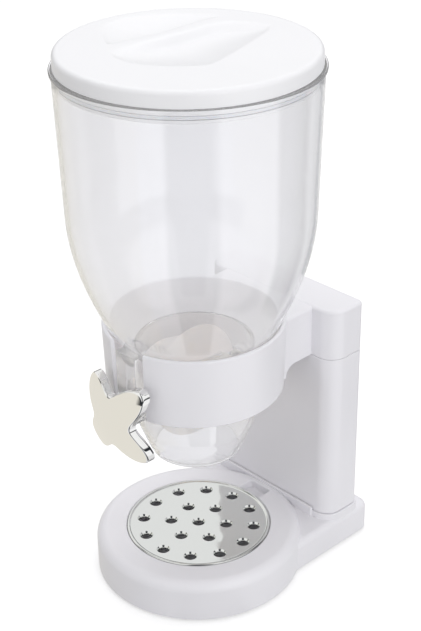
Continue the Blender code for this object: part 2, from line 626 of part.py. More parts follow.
def collar_profile():
    """Collar wall: straight sides with draft, and a round lip on top."""
    lip = COLLAR_WALL / 2
    centre = COLLAR_TOP_RADIUS - lip
    foot = COLLAR_TOP_RADIUS - COLLAR_DRAFT
    return [(foot - COLLAR_WALL, COLLAR_BOTTOM_Z), (foot, COLLAR_BOTTOM_Z)] + \
        arc((centre, COLLAR_TOP_Z - lip), lip, 0, math.pi, 2 * CORNER_STEPS - 2)


def make_bracket():
    """Column head, arm and open-fronted collar in one moulding, hollow from below."""
    bracket = prism("upper_bracket", post_outline(), POST_SEAM_Z, POST_TOP_Z, POST_TOP_ROUND)
    join(bracket, arm_block("arm", 0, POST_FRONT_Y + POST_WALL / 2))
    cut(bracket, prism("head_hollow", post_outline(POST_WALL), POST_SEAM_Z - OVERRUN, POST_TOP_Z - POST_WALL))
    hollow = arm_block("arm_hollow", POST_WALL, POST_FRONT_Y, OVERRUN)
    bore_top = POST_TOP_Z + OVERRUN
    cut(hollow, cylinder("collar_space", COLLAR_TOP_RADIUS, COLLAR_BOTTOM_Z - OVERRUN, bore_top, LARGE_STEPS))
    cut(bracket, hollow)
    middle = COLLAR_TOP_RADIUS - COLLAR_DRAFT - COLLAR_WALL / 2
    cut(bracket, cylinder("bore", middle, COLLAR_BOTTOM_Z - OVERRUN, bore_top, LARGE_STEPS))
    join(bracket, turned("collar", collar_profile()))
    join(bracket, columns("bracket_columns", BRACKET_COLUMNS, COLUMN_RADIUS, POST_SEAM_Z,
                          POST_TOP_Z - POST_WALL / 2))
    hole_top = LOWER_POST_TOP_Z - POST_DECK - SCREW_HEAD_HEIGHT + BRACKET_SCREW_LENGTH + GAP
    cut(bracket, columns("bracket_holes", BRACKET_COLUMNS, SCREW_HOLE_RADIUS, POST_SEAM_Z - OVERRUN, hole_top,
                         SCREW_STEPS))
    return cut(bracket, box("slot", (-SLOT_HALF_WIDTH, -COLLAR_TOP_RADIUS - OVERRUN, COLLAR_BOTTOM_Z - OVERRUN),
                            (SLOT_HALF_WIDTH, 0, COLLAR_TOP_Z + OVERRUN)))


def canister_line():
    """Outside of the canister's wall below the rim, top to bottom, as (radius, height) points."""
    seat = COLLAR_TOP_RADIUS - COLLAR_WALL - GAP
    top = (BODY_TOP_RADIUS, RIM_TOP_Z - RIM_THICKNESS)
    line = [top, ((BODY_TOP_RADIUS + BODY_FOOT_RADIUS) / 2, (top[1] + BODY_FOOT_Z) / 2)]
    line += bend((BODY_FOOT_RADIUS, BODY_FOOT_Z), (seat, COLLAR_TOP_Z), FUNNEL_BEND_SHARES)
    line += bend((seat, COLLAR_TOP_Z), (NECK_RADIUS, NECK_Z), THROAT_BEND_SHARES, CORNER_STEPS)[1:]
    line += [(CHAMBER_RADIUS * width, NECK_Z - CHAMBER_HEIGHT * drop) for drop, width in CHAMBER_SHARES]
    return line + [(OUTLET_RADIUS, OUTLET_Z + OUTLET_LIP_ROUND)]


def make_canister():
    """Clear hopper: rim flange, funnel, paddle chamber and spout, with its two bearing bosses."""
    outside = canister_line()
    inside = offset_line(outside, -WALL)
    inside[0] = (inside[0][0], RIM_TOP_Z)
    lip = [(OUTLET_RADIUS - OUTLET_LIP_ROUND, OUTLET_Z), (OUTLET_RADIUS - WALL + OUTLET_LIP_ROUND / 2, OUTLET_Z)]
    rim = [(RIM_RADIUS - RIM_THICKNESS / 4, RIM_TOP_Z), (RIM_RADIUS, RIM_TOP_Z - RIM_THICKNESS / 3),
           (RIM_RADIUS, RIM_TOP_Z - RIM_THICKNESS)]
    canister = turned("canister", rim + outside + lip + inside[::-1])
    middle = offset_line(outside, -WALL / 2)
    room = [(0, middle[0][1])] + middle + [(0, middle[-1][1])]
    keyhole = [(BOSS_HALF_WIDTH, BOSS_TOP_Z), (-BOSS_HALF_WIDTH, BOSS_TOP_Z)]
    keyhole += arc((0, SHAFT_Z), BOSS_HALF_WIDTH, math.pi, math.tau, SMALL_STEPS // 2)
    front = turn_to_y(prism("front_boss", [(x, SHAFT_Z - z) for x, z in keyhole], BOSS_FRONT_Y,
                            -CHAMBER_RADIUS + WALL / 2))
    cut(front, turned("front_room", room))
    join(canister, front)
    rear = turn_to_y(cylinder("rear_boss", BOSS_HALF_WIDTH, CHAMBER_RADIUS - WALL, BOSS_REAR_Y))
    cut(rear, turned("rear_room", room))
    join(canister, rear)
    cut(canister, turn_to_y(cylinder("front_bore", BUSH_BORE, BOSS_FRONT_Y - OVERRUN,
                                     -CHAMBER_RADIUS + WALL + OVERRUN)))
    return cut(canister, turn_to_y(cylinder("rear_bore", BUSH_BORE, CHAMBER_RADIUS - WALL - OVERRUN,
                                            BOSS_REAR_Y - REAR_BOSS_END_WALL)))


def make_bush(name, bore, start, end):
    """Plain bearing sleeve along the shaft's line."""
    return turn_to_y(turned(name, [(bore, start), (BUSH_RADIUS, start), (BUSH_RADIUS, end), (bore, end)],
                            SMALL_STEPS))


def make_shaft():
    """Spindle: round journal at the front, square through the wheel, small spigot at the rear."""
    front = KNOB_HUB_FRONT_Y + KNOB_HUB_CAP + GAP
    rear = BOSS_REAR_Y - REAR_BOSS_END_WALL - GAP * 2
    shaft = turn_to_y(cylinder("drive_shaft", JOURNAL_RADIUS, front, -SQUARE_HALF_LENGTH))
    half = SQUARE_HALF_SIDE
    join(shaft, box("square", (-half, -SQUARE_HALF_LENGTH - OVERRUN, SHAFT_Z - half),
                    (half, SQUARE_HALF_LENGTH, SHAFT_Z + half)))
    return join(shaft, turn_to_y(cylinder("spigot", SPIGOT_RADIUS, SQUARE_HALF_LENGTH - OVERRUN, rear)))


def make_core():
    """Rigid hub of the wheel, with a square bore and one slot for each vane."""
    core = turn_to_y(cylinder("wheel_core", CORE_RADIUS, -CORE_HALF_LENGTH, CORE_HALF_LENGTH, VANE_COUNT * 4))
    half = SQUARE_HALF_SIDE + GAP
    reach = CORE_HALF_LENGTH + OVERRUN
    cut(core, box("square_bore", (-half, -reach, SHAFT_Z - half), (half, reach, SHAFT_Z + half)))
    slot_half = VANE_THICKNESS / 2 + GAP
    slot_reach = VANE_ROOT_HALF_LENGTH + GAP
    slots = []
    for index in range(VANE_COUNT):
        slot = box("slot", (-slot_half, -slot_reach, CORE_RADIUS - VANE_ROOT_DEPTH - GAP),
                   (slot_half, slot_reach, CORE_RADIUS + OVERRUN))
        angle = VANE_LEAN + index * math.tau / VANE_COUNT
        for corner in slot.data.vertices:
            x, y, z = corner.co
            corner.co = (x * math.cos(angle) + z * math.sin(angle), y,
                         SHAFT_Z + z * math.cos(angle) - x * math.sin(angle))
        slots.append(slot)
    return cut(core, grouped("slots", slots))


def vane_mesh():
    """One paddle: a root tab and a rounded petal that curls a little, standing up from the shaft's line."""
    start = CORE_RADIUS + GAP
    rows = [start + (VANE_RADIUS - start) * math.sin(math.pi / 2 * row / VANE_ROWS) for row in range(VANE_ROWS + 1)]
    mesh = bmesh.new()
    sides = []
    for face in (-1, 1):
        grid = []
        for height in rows:
            reach = math.sqrt(max(VANE_RADIUS ** 2 - height ** 2, VANE_RADIUS * GAP))
            curl = VANE_CURL * ((height - start) / (VANE_RADIUS - start)) ** 2
            thickness = VANE_THICKNESS * (1 - (height - start) / (VANE_RADIUS - start) / 3)
            grid.append([mesh.verts.new((curl + face * thickness / 2, reach * (2 * step / VANE_STRIPS - 1), height))
                         for step in range(VANE_STRIPS + 1)])
        for lower, upper in zip(grid, grid[1:]):
            for step in range(VANE_STRIPS):
                mesh.faces.new((lower[step], lower[step + 1], upper[step + 1], upper[step]))
        sides.append(grid)
    left, right = sides
    edge = [(row, 0) for row in range(VANE_ROWS + 1)] + [(VANE_ROWS, step) for step in range(1, VANE_STRIPS + 1)]
    edge += [(row, VANE_STRIPS) for row in range(VANE_ROWS - 1, -1, -1)]
    edge += [(0, step) for step in range(VANE_STRIPS - 1, 0, -1)]
    for (row, step), (next_row, next_step) in zip(edge, edge[1:] + edge[:1]):
        mesh.faces.new((left[row][step], left[next_row][next_step], right[next_row][next_step], right[row][step]))
    petal = place_mesh("vane", mesh)
    half = VANE_THICKNESS / 2
    root = box("root", (-half, -VANE_ROOT_HALF_LENGTH, CORE_RADIUS - VANE_ROOT_DEPTH),
               (half, VANE_ROOT_HALF_LENGTH, start + OVERRUN))
    return join(petal, root)


def knob_radius(heading):
    """Radius of the knob's outline at a heading in its own plane."""
    swell = (1 + math.cos(KNOB_LOBES * (heading - KNOB_HEADING))) / 2
    return KNOB_VALLEY_RADIUS + (KNOB_TIP_RADIUS - KNOB_VALLEY_RADIUS) * swell ** KNOB_LOBE_POWER


def knob_face(radius):
    """Place along Y of the knob's domed face at a radius."""
    return KNOB_FACE_Y + KNOB_DOME * (radius / KNOB_TIP_RADIUS) ** 2


def make_knob():
    """Domed shell with rounded lobes, hollow at the back, drawn as rings from the face's centre to the back's."""
    headings = [math.tau * step / KNOB_SIDES for step in range(KNOB_SIDES)]
    rings = [[(knob_radius(heading) * share, 0) for heading in headings] for share in KNOB_FACE_SHARES]
    rings.append([(knob_radius(heading) - KNOB_EDGE_ROUND, 0) for heading in headings])
    rings.append([(knob_radius(heading), KNOB_EDGE_ROUND) for heading in headings])
    rings.append([(knob_radius(heading), KNOB_DEPTH) for heading in headings])
    rings.append([(knob_radius(heading) - KNOB_WALL, KNOB_DEPTH) for heading in headings])
    rings.append([(knob_radius(heading) - KNOB_WALL, KNOB_WALL) for heading in headings])
    rings += [[((knob_radius(heading) - KNOB_WALL) * share, KNOB_WALL) for heading in headings]
              for share in KNOB_BACK_SHARES]
    mesh = bmesh.new()
    loops = []
    for ring in rings:
        loops.append([mesh.verts.new((radius * math.cos(heading), knob_face(radius) + back,
                                      SHAFT_Z + radius * math.sin(heading)))
                      for heading, (radius, back) in zip(headings, ring)])
    for first, second in zip(loops, loops[1:]):
        for step in range(KNOB_SIDES):
            mesh.faces.new((first[step - 1], first[step], second[step], second[step - 1]))
    for loop, depth in ((loops[0], 0), (loops[-1], KNOB_WALL)):
        centre = mesh.verts.new((0, KNOB_FACE_Y + depth, SHAFT_Z))
        for step in range(KNOB_SIDES):
            mesh.faces.new((loop[step - 1], loop[step], centre))
    return place_mesh("knob_shell", mesh)


def make_knob_hub():
    """Insert behind the knob's face: a flange in the shell and a neck that holds the spindle."""
    front = KNOB_HUB_FRONT_Y
    back = front + KNOB_HUB_FLANGE
    rear = BOSS_FRONT_Y - KNOB_RUNNING_GAP
    bore = JOURNAL_RADIUS + GAP
    neck = bore + KNOB_NECK_WALL
    bore_end = front + KNOB_HUB_CAP
    return turn_to_y(turned("knob_hub", [(0, front), (KNOB_HUB_RADIUS, front), (KNOB_HUB_RADIUS, back), (neck, back),
                                         (neck, rear), (bore, rear), (bore, bore_end), (0, bore_end)], SMALL_STEPS))


def scoop(name, rim_shares, ridge_shares, depth, grow, roof):
    """Solid of a finger scoop: shallow at its open rim, steep and deep under the ridge.

    grow moves the outline outwards and the floor down, which gives the scoop's own wall.
    """
    rim = smooth_line([(x * LID_RADIUS, y * LID_RADIUS) for x, y in rim_shares], SCOOP_POINTS)
    ridge = smooth_line([(x * LID_RADIUS, y * LID_RADIUS) for x, y in ridge_shares], SCOOP_POINTS)
    middle_x = sum(x for x, y in rim + ridge) / (2 * SCOOP_POINTS)
    middle_y = sum(y for x, y in rim + ridge) / (2 * SCOOP_POINTS)

    def grown(point):
        run_x, run_y = point[0] - middle_x, point[1] - middle_y
        share = 1 + grow / math.hypot(run_x, run_y)
        return middle_x + run_x * share, middle_y + run_y * share

    rim = [grown(point) for point in rim]
    ridge = [grown(point) for point in ridge]
    mesh = bmesh.new()
    floor = []
    for row in range(SCOOP_ROWS + 1):
        part = row / SCOOP_ROWS
        line = []
        for step in range(SCOOP_POINTS):
            swell = math.sqrt(max(0, math.sin(math.pi * step / (SCOOP_POINTS - 1))))
            drop = SCOOP_EDGE + grow + (depth - SCOOP_EDGE) * math.sin(math.pi / 2 * part) * swell
            x = rim[step][0] + (ridge[step][0] - rim[step][0]) * part
            y = rim[step][1] + (ridge[step][1] - rim[step][1]) * part
            line.append(mesh.verts.new((x, y, LID_TOP_Z - drop)))
        floor.append(line)
    for first, second in zip(floor, floor[1:]):
        for step in range(SCOOP_POINTS - 1):
            mesh.faces.new((first[step], first[step + 1], second[step + 1], second[step]))
    around = floor[0] + floor[-1][::-1]
    lids = [mesh.verts.new((corner.co.x, corner.co.y, roof)) for corner in around]
    for index in range(len(around)):
        mesh.faces.new((around[index - 1], around[index], lids[index], lids[index - 1]))
    mesh.faces.new(lids)
    ends = (floor[0][0], floor[0][-1])
    for row in range(1, SCOOP_ROWS):
        for end, column in zip(ends, (0, -1)):
            floor[row][column].co = end.co
    return place_mesh(name, mesh)


def make_lid():
    """Lid: flat top with a pinch ridge between two scoops, and a plug with a groove for its seal."""
    inner = PLUG_RADIUS - PLUG_WALL
    groove = PLUG_RADIUS - SEAL_DEPTH
    groove_top = SEAL_FOOT_Z + SEAL_HEIGHT
    underside = LID_TOP_Z - LID_PLATE
    profile = [(0, underside), (inner, underside), (inner, PLUG_FOOT_Z), (PLUG_RADIUS, PLUG_FOOT_Z),
               (PLUG_RADIUS, SEAL_FOOT_Z), (groove, SEAL_FOOT_Z), (groove, groove_top), (PLUG_RADIUS, groove_top),
               (PLUG_RADIUS, LID_SEAT_Z), (LID_RADIUS, LID_SEAT_Z)]
    profile += arc((LID_RADIUS - LID_EDGE_ROUND, LID_TOP_Z - LID_EDGE_ROUND), LID_EDGE_ROUND, 0, math.pi / 2)
    lid = turned("lid", profile + [(0, LID_TOP_Z)])
    pair = ((NEAR_SCOOP_SHARES, NEAR_RIDGE_SHARES, NEAR_SCOOP_DEPTH),
            (FAR_SCOOP_SHARES, FAR_RIDGE_SHARES, FAR_SCOOP_DEPTH))
    for rim_shares, ridge_shares, depth in pair:
        join(lid, scoop("scoop_wall", rim_shares, ridge_shares, depth, SCOOP_WALL, LID_TOP_Z - LID_PLATE / 2))
    for rim_shares, ridge_shares, depth in pair:
        cut(lid, scoop("scoop_cut", rim_shares, ridge_shares, depth, 0, LID_TOP_Z + OVERRUN))
    return lid


def make_seal():
    """Silicone ring in the plug's groove."""
    inner = PLUG_RADIUS - SEAL_DEPTH + GAP
    outer = MOUTH_RADIUS - GAP
    low = SEAL_FOOT_Z + GAP
    high = SEAL_FOOT_Z + SEAL_HEIGHT - GAP
    nose = (low + high) / 2
    return turned("lid_seal", [(inner, low), (outer - PLUG_CLEARANCE, low), (outer, nose),
                               (outer - PLUG_CLEARANCE, high), (inner, high)])


def make_tray():
    """Chrome tray: perforated plate, rolled rim and a short skirt that stands on the base's ledge."""
    plate_top = DISC_TOP_Z - TRAY_PLATE_DROP
    plate_low = plate_top - TRAY_PLATE
    skirt = TRAY_RADIUS - TRAY_PLATE
    foot = TRAY_LEDGE_Z + GAP
    bead_centre = (TRAY_RADIUS - TRAY_BEAD, DISC_TOP_Z + TRAY_BEAD_RISE - TRAY_BEAD)
    profile = [(0, plate_low), (skirt, plate_low), (skirt, foot), (TRAY_RADIUS, foot)]
    profile += arc(bead_centre, TRAY_BEAD, 0, math.pi * 5 / 6)
    profile += [(TRAY_RADIUS - 3 * TRAY_BEAD, plate_top), (0, plate_top)]
    tray = turned("crumb_tray", profile)
    places = [(0, 0)]
    for ring, count in ((TRAY_INNER_RING, 6), (TRAY_OUTER_RING, 12)):
        places += [(ring * math.cos(TRAY_HEADING + math.tau * index / count),
                    ring * math.sin(TRAY_HEADING + math.tau * index / count)) for index in range(count)]
    throat, mouth = TRAY_HOLE_THROAT, TRAY_HOLE_MOUTH
    profile = [(0, plate_low - OVERRUN), (throat, plate_low - OVERRUN), (throat, plate_top - TRAY_HOLE_FLARE),
               (mouth, plate_top), (mouth, plate_top + OVERRUN), (0, plate_top + OVERRUN)]
    holes = [moved(turned("hole", profile, TRAY_HOLE_STEPS), (x, y, 0)) for x, y in places]
    return cut(tray, grouped("holes", holes))


def frame(name, parent, place):
    """Empty at a place in the stand's frame, which carries the pieces of one moving body."""
    empty = bpy.data.objects.new(name, None)
    bpy.context.scene.collection.objects.link(empty)
    empty.parent = parent
    offset = parent["place"] if parent else (0, 0, 0)
    empty.location = [value - shift for value, shift in zip(place, offset)]
    empty["place"] = place
    return empty


def fit(thing, carrier, material, at=(0, 0, 0)):
    """Parents a piece drawn in the stand's frame to its carrier, and gives it its material."""
    thing.parent = carrier
    thing.location = [value - shift for value, shift in zip(at, carrier["place"])]
    thing.data.materials.clear()
    thing.data.materials.append(material)
    thing.data.shade_smooth()
    thing.data.set_sharp_from_angle(angle=math.radians(35))
    return thing


def copies(name, pattern, places, carrier, material):
    """One object of the pattern's mesh at each place, numbered from one."""
    for number, place in enumerate(places, 1):
        thing = bpy.data.objects.new(f"{name}_{number}", pattern.data)
        bpy.context.scene.collection.objects.link(thing)
        fit(thing, carrier, material, place)
    bpy.data.objects.remove(pattern)


def build():
    """Makes every piece and hangs it on the frame of the body that it moves with."""
    clear_scene()
    white = plastic("white_abs", (0.86, 0.86, 0.88), 0.35)
    clear = plastic("clear_styrene", (0.93, 0.94, 0.96), 0.05, alpha=0.35, transmission=0.9)
    chrome = plastic("chrome_plate", (0.80, 0.80, 0.79), 0.08, metallic=1.0)
    silicone = plastic("cream_silicone", (0.85, 0.74, 0.66), 0.5)
    acetal = plastic("natural_acetal", (0.82, 0.82, 0.79), 0.4)
    rubber = plastic("grey_rubber", (0.18, 0.18, 0.18), 0.8)
    steel = plastic("zinc_steel", (0.62, 0.62, 0.62), 0.35, metallic=1.0)

    stand = frame("stand_frame", None, (0, 0, 0))
    stand.location = (0, ORIGIN_Y, 0)
    tray_frame = frame("tray_frame", stand, (0, 0, TRAY_LEDGE_Z))
    hopper = frame("hopper_frame", stand, (0, 0, COLLAR_TOP_Z))
    lid_frame = frame("lid_frame", hopper, (0, 0, RIM_TOP_Z))
    wheel = frame("wheel_frame", hopper, (0, 0, SHAFT_Z))

    fit(make_base(), stand, white)
    fit(make_cover(), stand, white)
    copies("foot", foot_mesh(), [(x, y, 0) for x, y in FOOT_PLACES], stand, rubber)
    copies("cover_screw", sunk_screw("sunk", COVER_SCREW_LENGTH), [(x, y, BASE_UNDERSIDE_Z + GAP / 2)
                                                                   for x, y in COVER_COLUMNS], stand, steel)
    copies("post_screw", pan_screw("pan", POST_SCREW_LENGTH), [(x, y, PILLAR_FOOT_Z - SCREW_HEAD_HEIGHT - GAP)
                                                               for x, y in POST_COLUMNS], stand, steel)
    fit(make_lower_post(), stand, white)
    deck_z = LOWER_POST_TOP_Z - POST_DECK
    copies("bracket_screw", pan_screw("pan", BRACKET_SCREW_LENGTH), [(x, y, deck_z - SCREW_HEAD_HEIGHT - GAP)
                                                                     for x, y in BRACKET_COLUMNS], stand, steel)
    fit(make_bracket(), stand, white)
    fit(make_tray(), tray_frame, chrome)

    fit(make_canister(), hopper, clear)
    fit(make_bush("front_bush", JOURNAL_RADIUS + GAP, BOSS_FRONT_Y + GAP, -CHAMBER_RADIUS + WALL - GAP), hopper,
        acetal)
    fit(make_bush("rear_bush", SPIGOT_RADIUS + GAP, CHAMBER_RADIUS - WALL + GAP,
                  BOSS_REAR_Y - REAR_BOSS_END_WALL - GAP), hopper, acetal)
    fit(make_lid(), lid_frame, white)
    fit(make_seal(), lid_frame, silicone)

    fit(make_knob(), wheel, chrome)
    fit(make_knob_hub(), wheel, white)
    fit(make_shaft(), wheel, acetal)
    fit(make_core(), wheel, acetal)
    pattern = vane_mesh()
    for index in range(VANE_COUNT):
        vane = bpy.data.objects.new(f"vane_{index + 1}", pattern.data)
        bpy.context.scene.collection.objects.link(vane)
        fit(vane, wheel, silicone, (0, 0, SHAFT_Z))
        vane.rotation_euler = (0, VANE_LEAN + index * math.tau / VANE_COUNT, 0)
    bpy.data.objects.remove(pattern)


build()
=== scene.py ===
"""Looks of a cereal dispenser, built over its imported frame.

Sizes are in millimetres about the hopper's upright axis, with the ground at zero, the knob towards -Y
and the post towards +Y. The last step of each piece turns them to metres and sets them on the frame's axis.
"""

import json
import logging
import math
from collections.abc import Callable, Iterable, Sequence
from dataclasses import dataclass
from enum import Enum

import bmesh
import bpy
import numpy as np
from mathutils import Matrix, Vector

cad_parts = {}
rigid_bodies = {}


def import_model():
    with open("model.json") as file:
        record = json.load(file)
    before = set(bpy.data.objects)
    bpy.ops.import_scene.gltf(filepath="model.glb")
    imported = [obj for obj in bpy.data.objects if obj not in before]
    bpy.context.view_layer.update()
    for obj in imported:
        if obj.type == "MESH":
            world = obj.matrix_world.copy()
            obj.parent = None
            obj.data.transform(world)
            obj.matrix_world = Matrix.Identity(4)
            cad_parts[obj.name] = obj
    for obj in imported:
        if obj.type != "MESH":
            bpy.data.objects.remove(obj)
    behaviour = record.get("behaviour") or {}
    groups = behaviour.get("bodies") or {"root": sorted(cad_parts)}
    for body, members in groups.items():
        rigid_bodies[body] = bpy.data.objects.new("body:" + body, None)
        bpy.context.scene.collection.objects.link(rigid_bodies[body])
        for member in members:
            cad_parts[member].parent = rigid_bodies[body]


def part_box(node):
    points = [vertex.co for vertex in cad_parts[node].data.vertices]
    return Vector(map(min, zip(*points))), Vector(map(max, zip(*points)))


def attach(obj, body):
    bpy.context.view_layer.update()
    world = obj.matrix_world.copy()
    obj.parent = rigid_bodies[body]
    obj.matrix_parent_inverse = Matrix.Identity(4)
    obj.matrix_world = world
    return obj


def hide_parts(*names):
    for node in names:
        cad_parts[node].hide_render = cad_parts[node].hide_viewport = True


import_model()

LOG = logging.getLogger("dispenser")
MM = 0.001
WELD = 0.004
FULL_TURN = math.tau
STEPS = 160
FINE_STEPS = 192
COLLAR_STEPS = 176
NOISE_MIDDLE = (0.3, 0.7)
AXIS = sum(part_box("canister"), Vector()) / 2

Point = tuple[float, float]
Corner = tuple[float, float, float]
Panels = tuple[tuple[float, str], ...]
Thing = bpy.types.Object
Socket = bpy.types.NodeSocket


class Merge(Enum):
    """How a tool acts on the piece that it meets."""

    JOIN = "UNION"
    CUT = "DIFFERENCE"
    KEEP = "INTERSECT"


class Body(Enum):
    """Moving bodies of the frame."""

    STAND = "stand"
    TRAY = "tray"
    HOPPER = "hopper"
    LID = "lid"
    WHEEL = "wheel"


def linear(code: str) -> Corner:
    """Turns an sRGB hex colour such as "#E9D5C8" to linear red, green and blue from 0 to 1."""
    values = [int(code[start:start + 2], 16) / 255 for start in (1, 3, 5)]
    return tuple(value / 12.92 if value <= 0.04045 else ((value + 0.055) / 1.055) ** 2.4 for value in values)


def per_metre(size: float) -> float:
    """Scale of a pattern whose features are this many millimetres apart."""
    return 1 / (size * MM)


def set_inputs(node: bpy.types.Node, values: dict | None = None, links: dict | None = None) -> None:
    """Gives a node's inputs their constants and their sources.

    Args:
        node: node to set.
        values: constant for each input socket named.
        links: source socket for each input socket named.
    """
    for name, value in (values or {}).items():
        node.inputs[name].default_value = value
    for name, source in (links or {}).items():
        node.id_data.links.new(source, node.inputs[name])


def add_node(tree: bpy.types.NodeTree, kind: str, values: dict | None = None, links: dict | None = None,
             **settings: object) -> bpy.types.Node:
    """Adds a node with its settings, socket values and links.

    Args:
        tree: node tree that takes the node.
        kind: Blender's name for the node type.
        values: constant for each input socket named.
        links: source socket for each input socket named.
        **settings: properties of the node itself.

    Returns:
        The new node.
    """
    node = tree.nodes.new(kind)
    for name, setting in settings.items():
        setattr(node, name, setting)
    set_inputs(node, values, links)
    return node


def blank_material(name: str) -> tuple[bpy.types.Material, bpy.types.NodeTree, bpy.types.Node]:
    """Makes a material that holds only its shader.

    Args:
        name: name of the material.

    Returns:
        The material, its node tree and its shader.
    """
    material = bpy.data.materials.new(name)
    material.use_nodes = True
    tree = material.node_tree
    return material, tree, tree.nodes["Principled BSDF"]


def ramp(tree: bpy.types.NodeTree, source: Socket, stops: Sequence[tuple[float, str]]) -> Socket:
    """Colours a value by stops.

    Args:
        tree: node tree that takes the ramp.
        source: value from 0 to 1.
        stops: place and sRGB hex colour of each stop, in order.

    Returns:
        The colour socket.
    """
    node = add_node(tree, "ShaderNodeValToRGB", links={"Fac": source})
    elements = node.color_ramp.elements
    while len(elements) < len(stops):
        elements.new(0.5)
    for element, (place, code) in zip(elements, stops):
        element.position = place
        element.color = (*linear(code), 1)
    return node.outputs["Color"]


def map_range(tree: bpy.types.NodeTree, source: Socket, given: Point, wanted: Point = (0.0, 1.0)) -> Socket:
    """Maps a value from its given range to the wanted one and holds it at both ends."""
    values = {"From Min": given[0], "From Max": given[1], "To Min": wanted[0], "To Max": wanted[1]}
    return add_node(tree, "ShaderNodeMapRange", values, {"Value": source}).outputs["Result"]


def calculate(tree: bpy.types.NodeTree, operation: str, first: Socket, second: Socket | float) -> Socket:
    """Works out a value from two others.

    Args:
        tree: node tree that takes the node.
        operation: Blender's name for the operation.
        first: first value.
        second: second value, a socket or a number.

    Returns:
        The value socket.
    """
    node = add_node(tree, "ShaderNodeMath", {}, {0: first}, operation=operation)
    if isinstance(second, float):
        set_inputs(node, {1: second})
    else:
        set_inputs(node, {}, {1: second})
    return node.outputs[0]


def object_place(tree: bpy.types.NodeTree) -> Socket:
    """Place on the object, in metres."""
    return add_node(tree, "ShaderNodeTexCoord").outputs["Object"]


def noise(tree: bpy.types.NodeTree, place: Socket, size: float, detail: float) -> Socket:
    """Cloudy noise whose features are this many millimetres apart."""
    values = {"Scale": per_metre(size), "Detail": detail}
    return add_node(tree, "ShaderNodeTexNoise", values, {"Vector": place}).outputs["Fac"]


def bump(tree: bpy.types.NodeTree, height: Socket, depth: float, strength: float,
         under: Socket | None = None) -> Socket:
    """Tilts the surface's normal by the slope of a height.

    Args:
        tree: node tree that takes the node.
        height: height from 0 to 1.
        depth: what the height stands for, in millimetres.
        strength: share of the tilt that counts.
        under: normal that is tilted, if it isn't the surface's own.

    Returns:
        The normal socket.
    """
    links = {"Height": height}
    if under:
        links["Normal"] = under
    values = {"Strength": strength, "Distance": depth * MM}
    return add_node(tree, "ShaderNodeBump", values, links).outputs["Normal"]


@dataclass(frozen=True)
class MouldedPlastic:
    """Injection-moulded plastic: a colour that drifts very slightly, a satin skin and a fine spark grain.

    Attributes:
        name: name of the material.
        colour: main colour.
        drift: colour that it drifts to.
        roughness: lowest and highest roughness.
        grain: size of the mould's grain, in millimetres.
        depth: depth of the grain, in millimetres.
        scatter: share of light that travels under the skin.
        clouds: distance between drifts of colour, in millimetres.
        patches: distance between patches of roughness, in millimetres.
        ior: how strongly the skin bends light.
        under: how far red, green and blue light travel under the skin, in shares of the reach.
        reach: how far light travels under the skin, in millimetres.
    """

    name: str
    colour: str
    drift: str
    roughness: Point
    grain: float
    depth: float
    scatter: float = 0.0
    clouds: float = 70.0
    patches: float = 9.0
    ior: float = 1.52
    under: Corner = (1.0, 0.7, 0.5)
    reach: float = 3.0

    def material(self) -> bpy.types.Material:
        """Builds the material.

        Returns:
            The material.
        """
        material, tree, shader = blank_material(self.name)
        place = object_place(tree)
        colours = tuple(zip(NOISE_MIDDLE, (self.colour, self.drift)))
        set_inputs(shader, {"IOR": self.ior, "Subsurface Weight": self.scatter,
                            "Subsurface Radius": self.under, "Subsurface Scale": self.reach * MM},
                   {"Base Color": ramp(tree, noise(tree, place, self.clouds, 2), colours),
                    "Roughness": map_range(tree, noise(tree, place, self.patches, 3), NOISE_MIDDLE,
                                           self.roughness),
                    "Normal": bump(tree, noise(tree, place, self.grain, 2), self.depth, 0.6)})
        return material


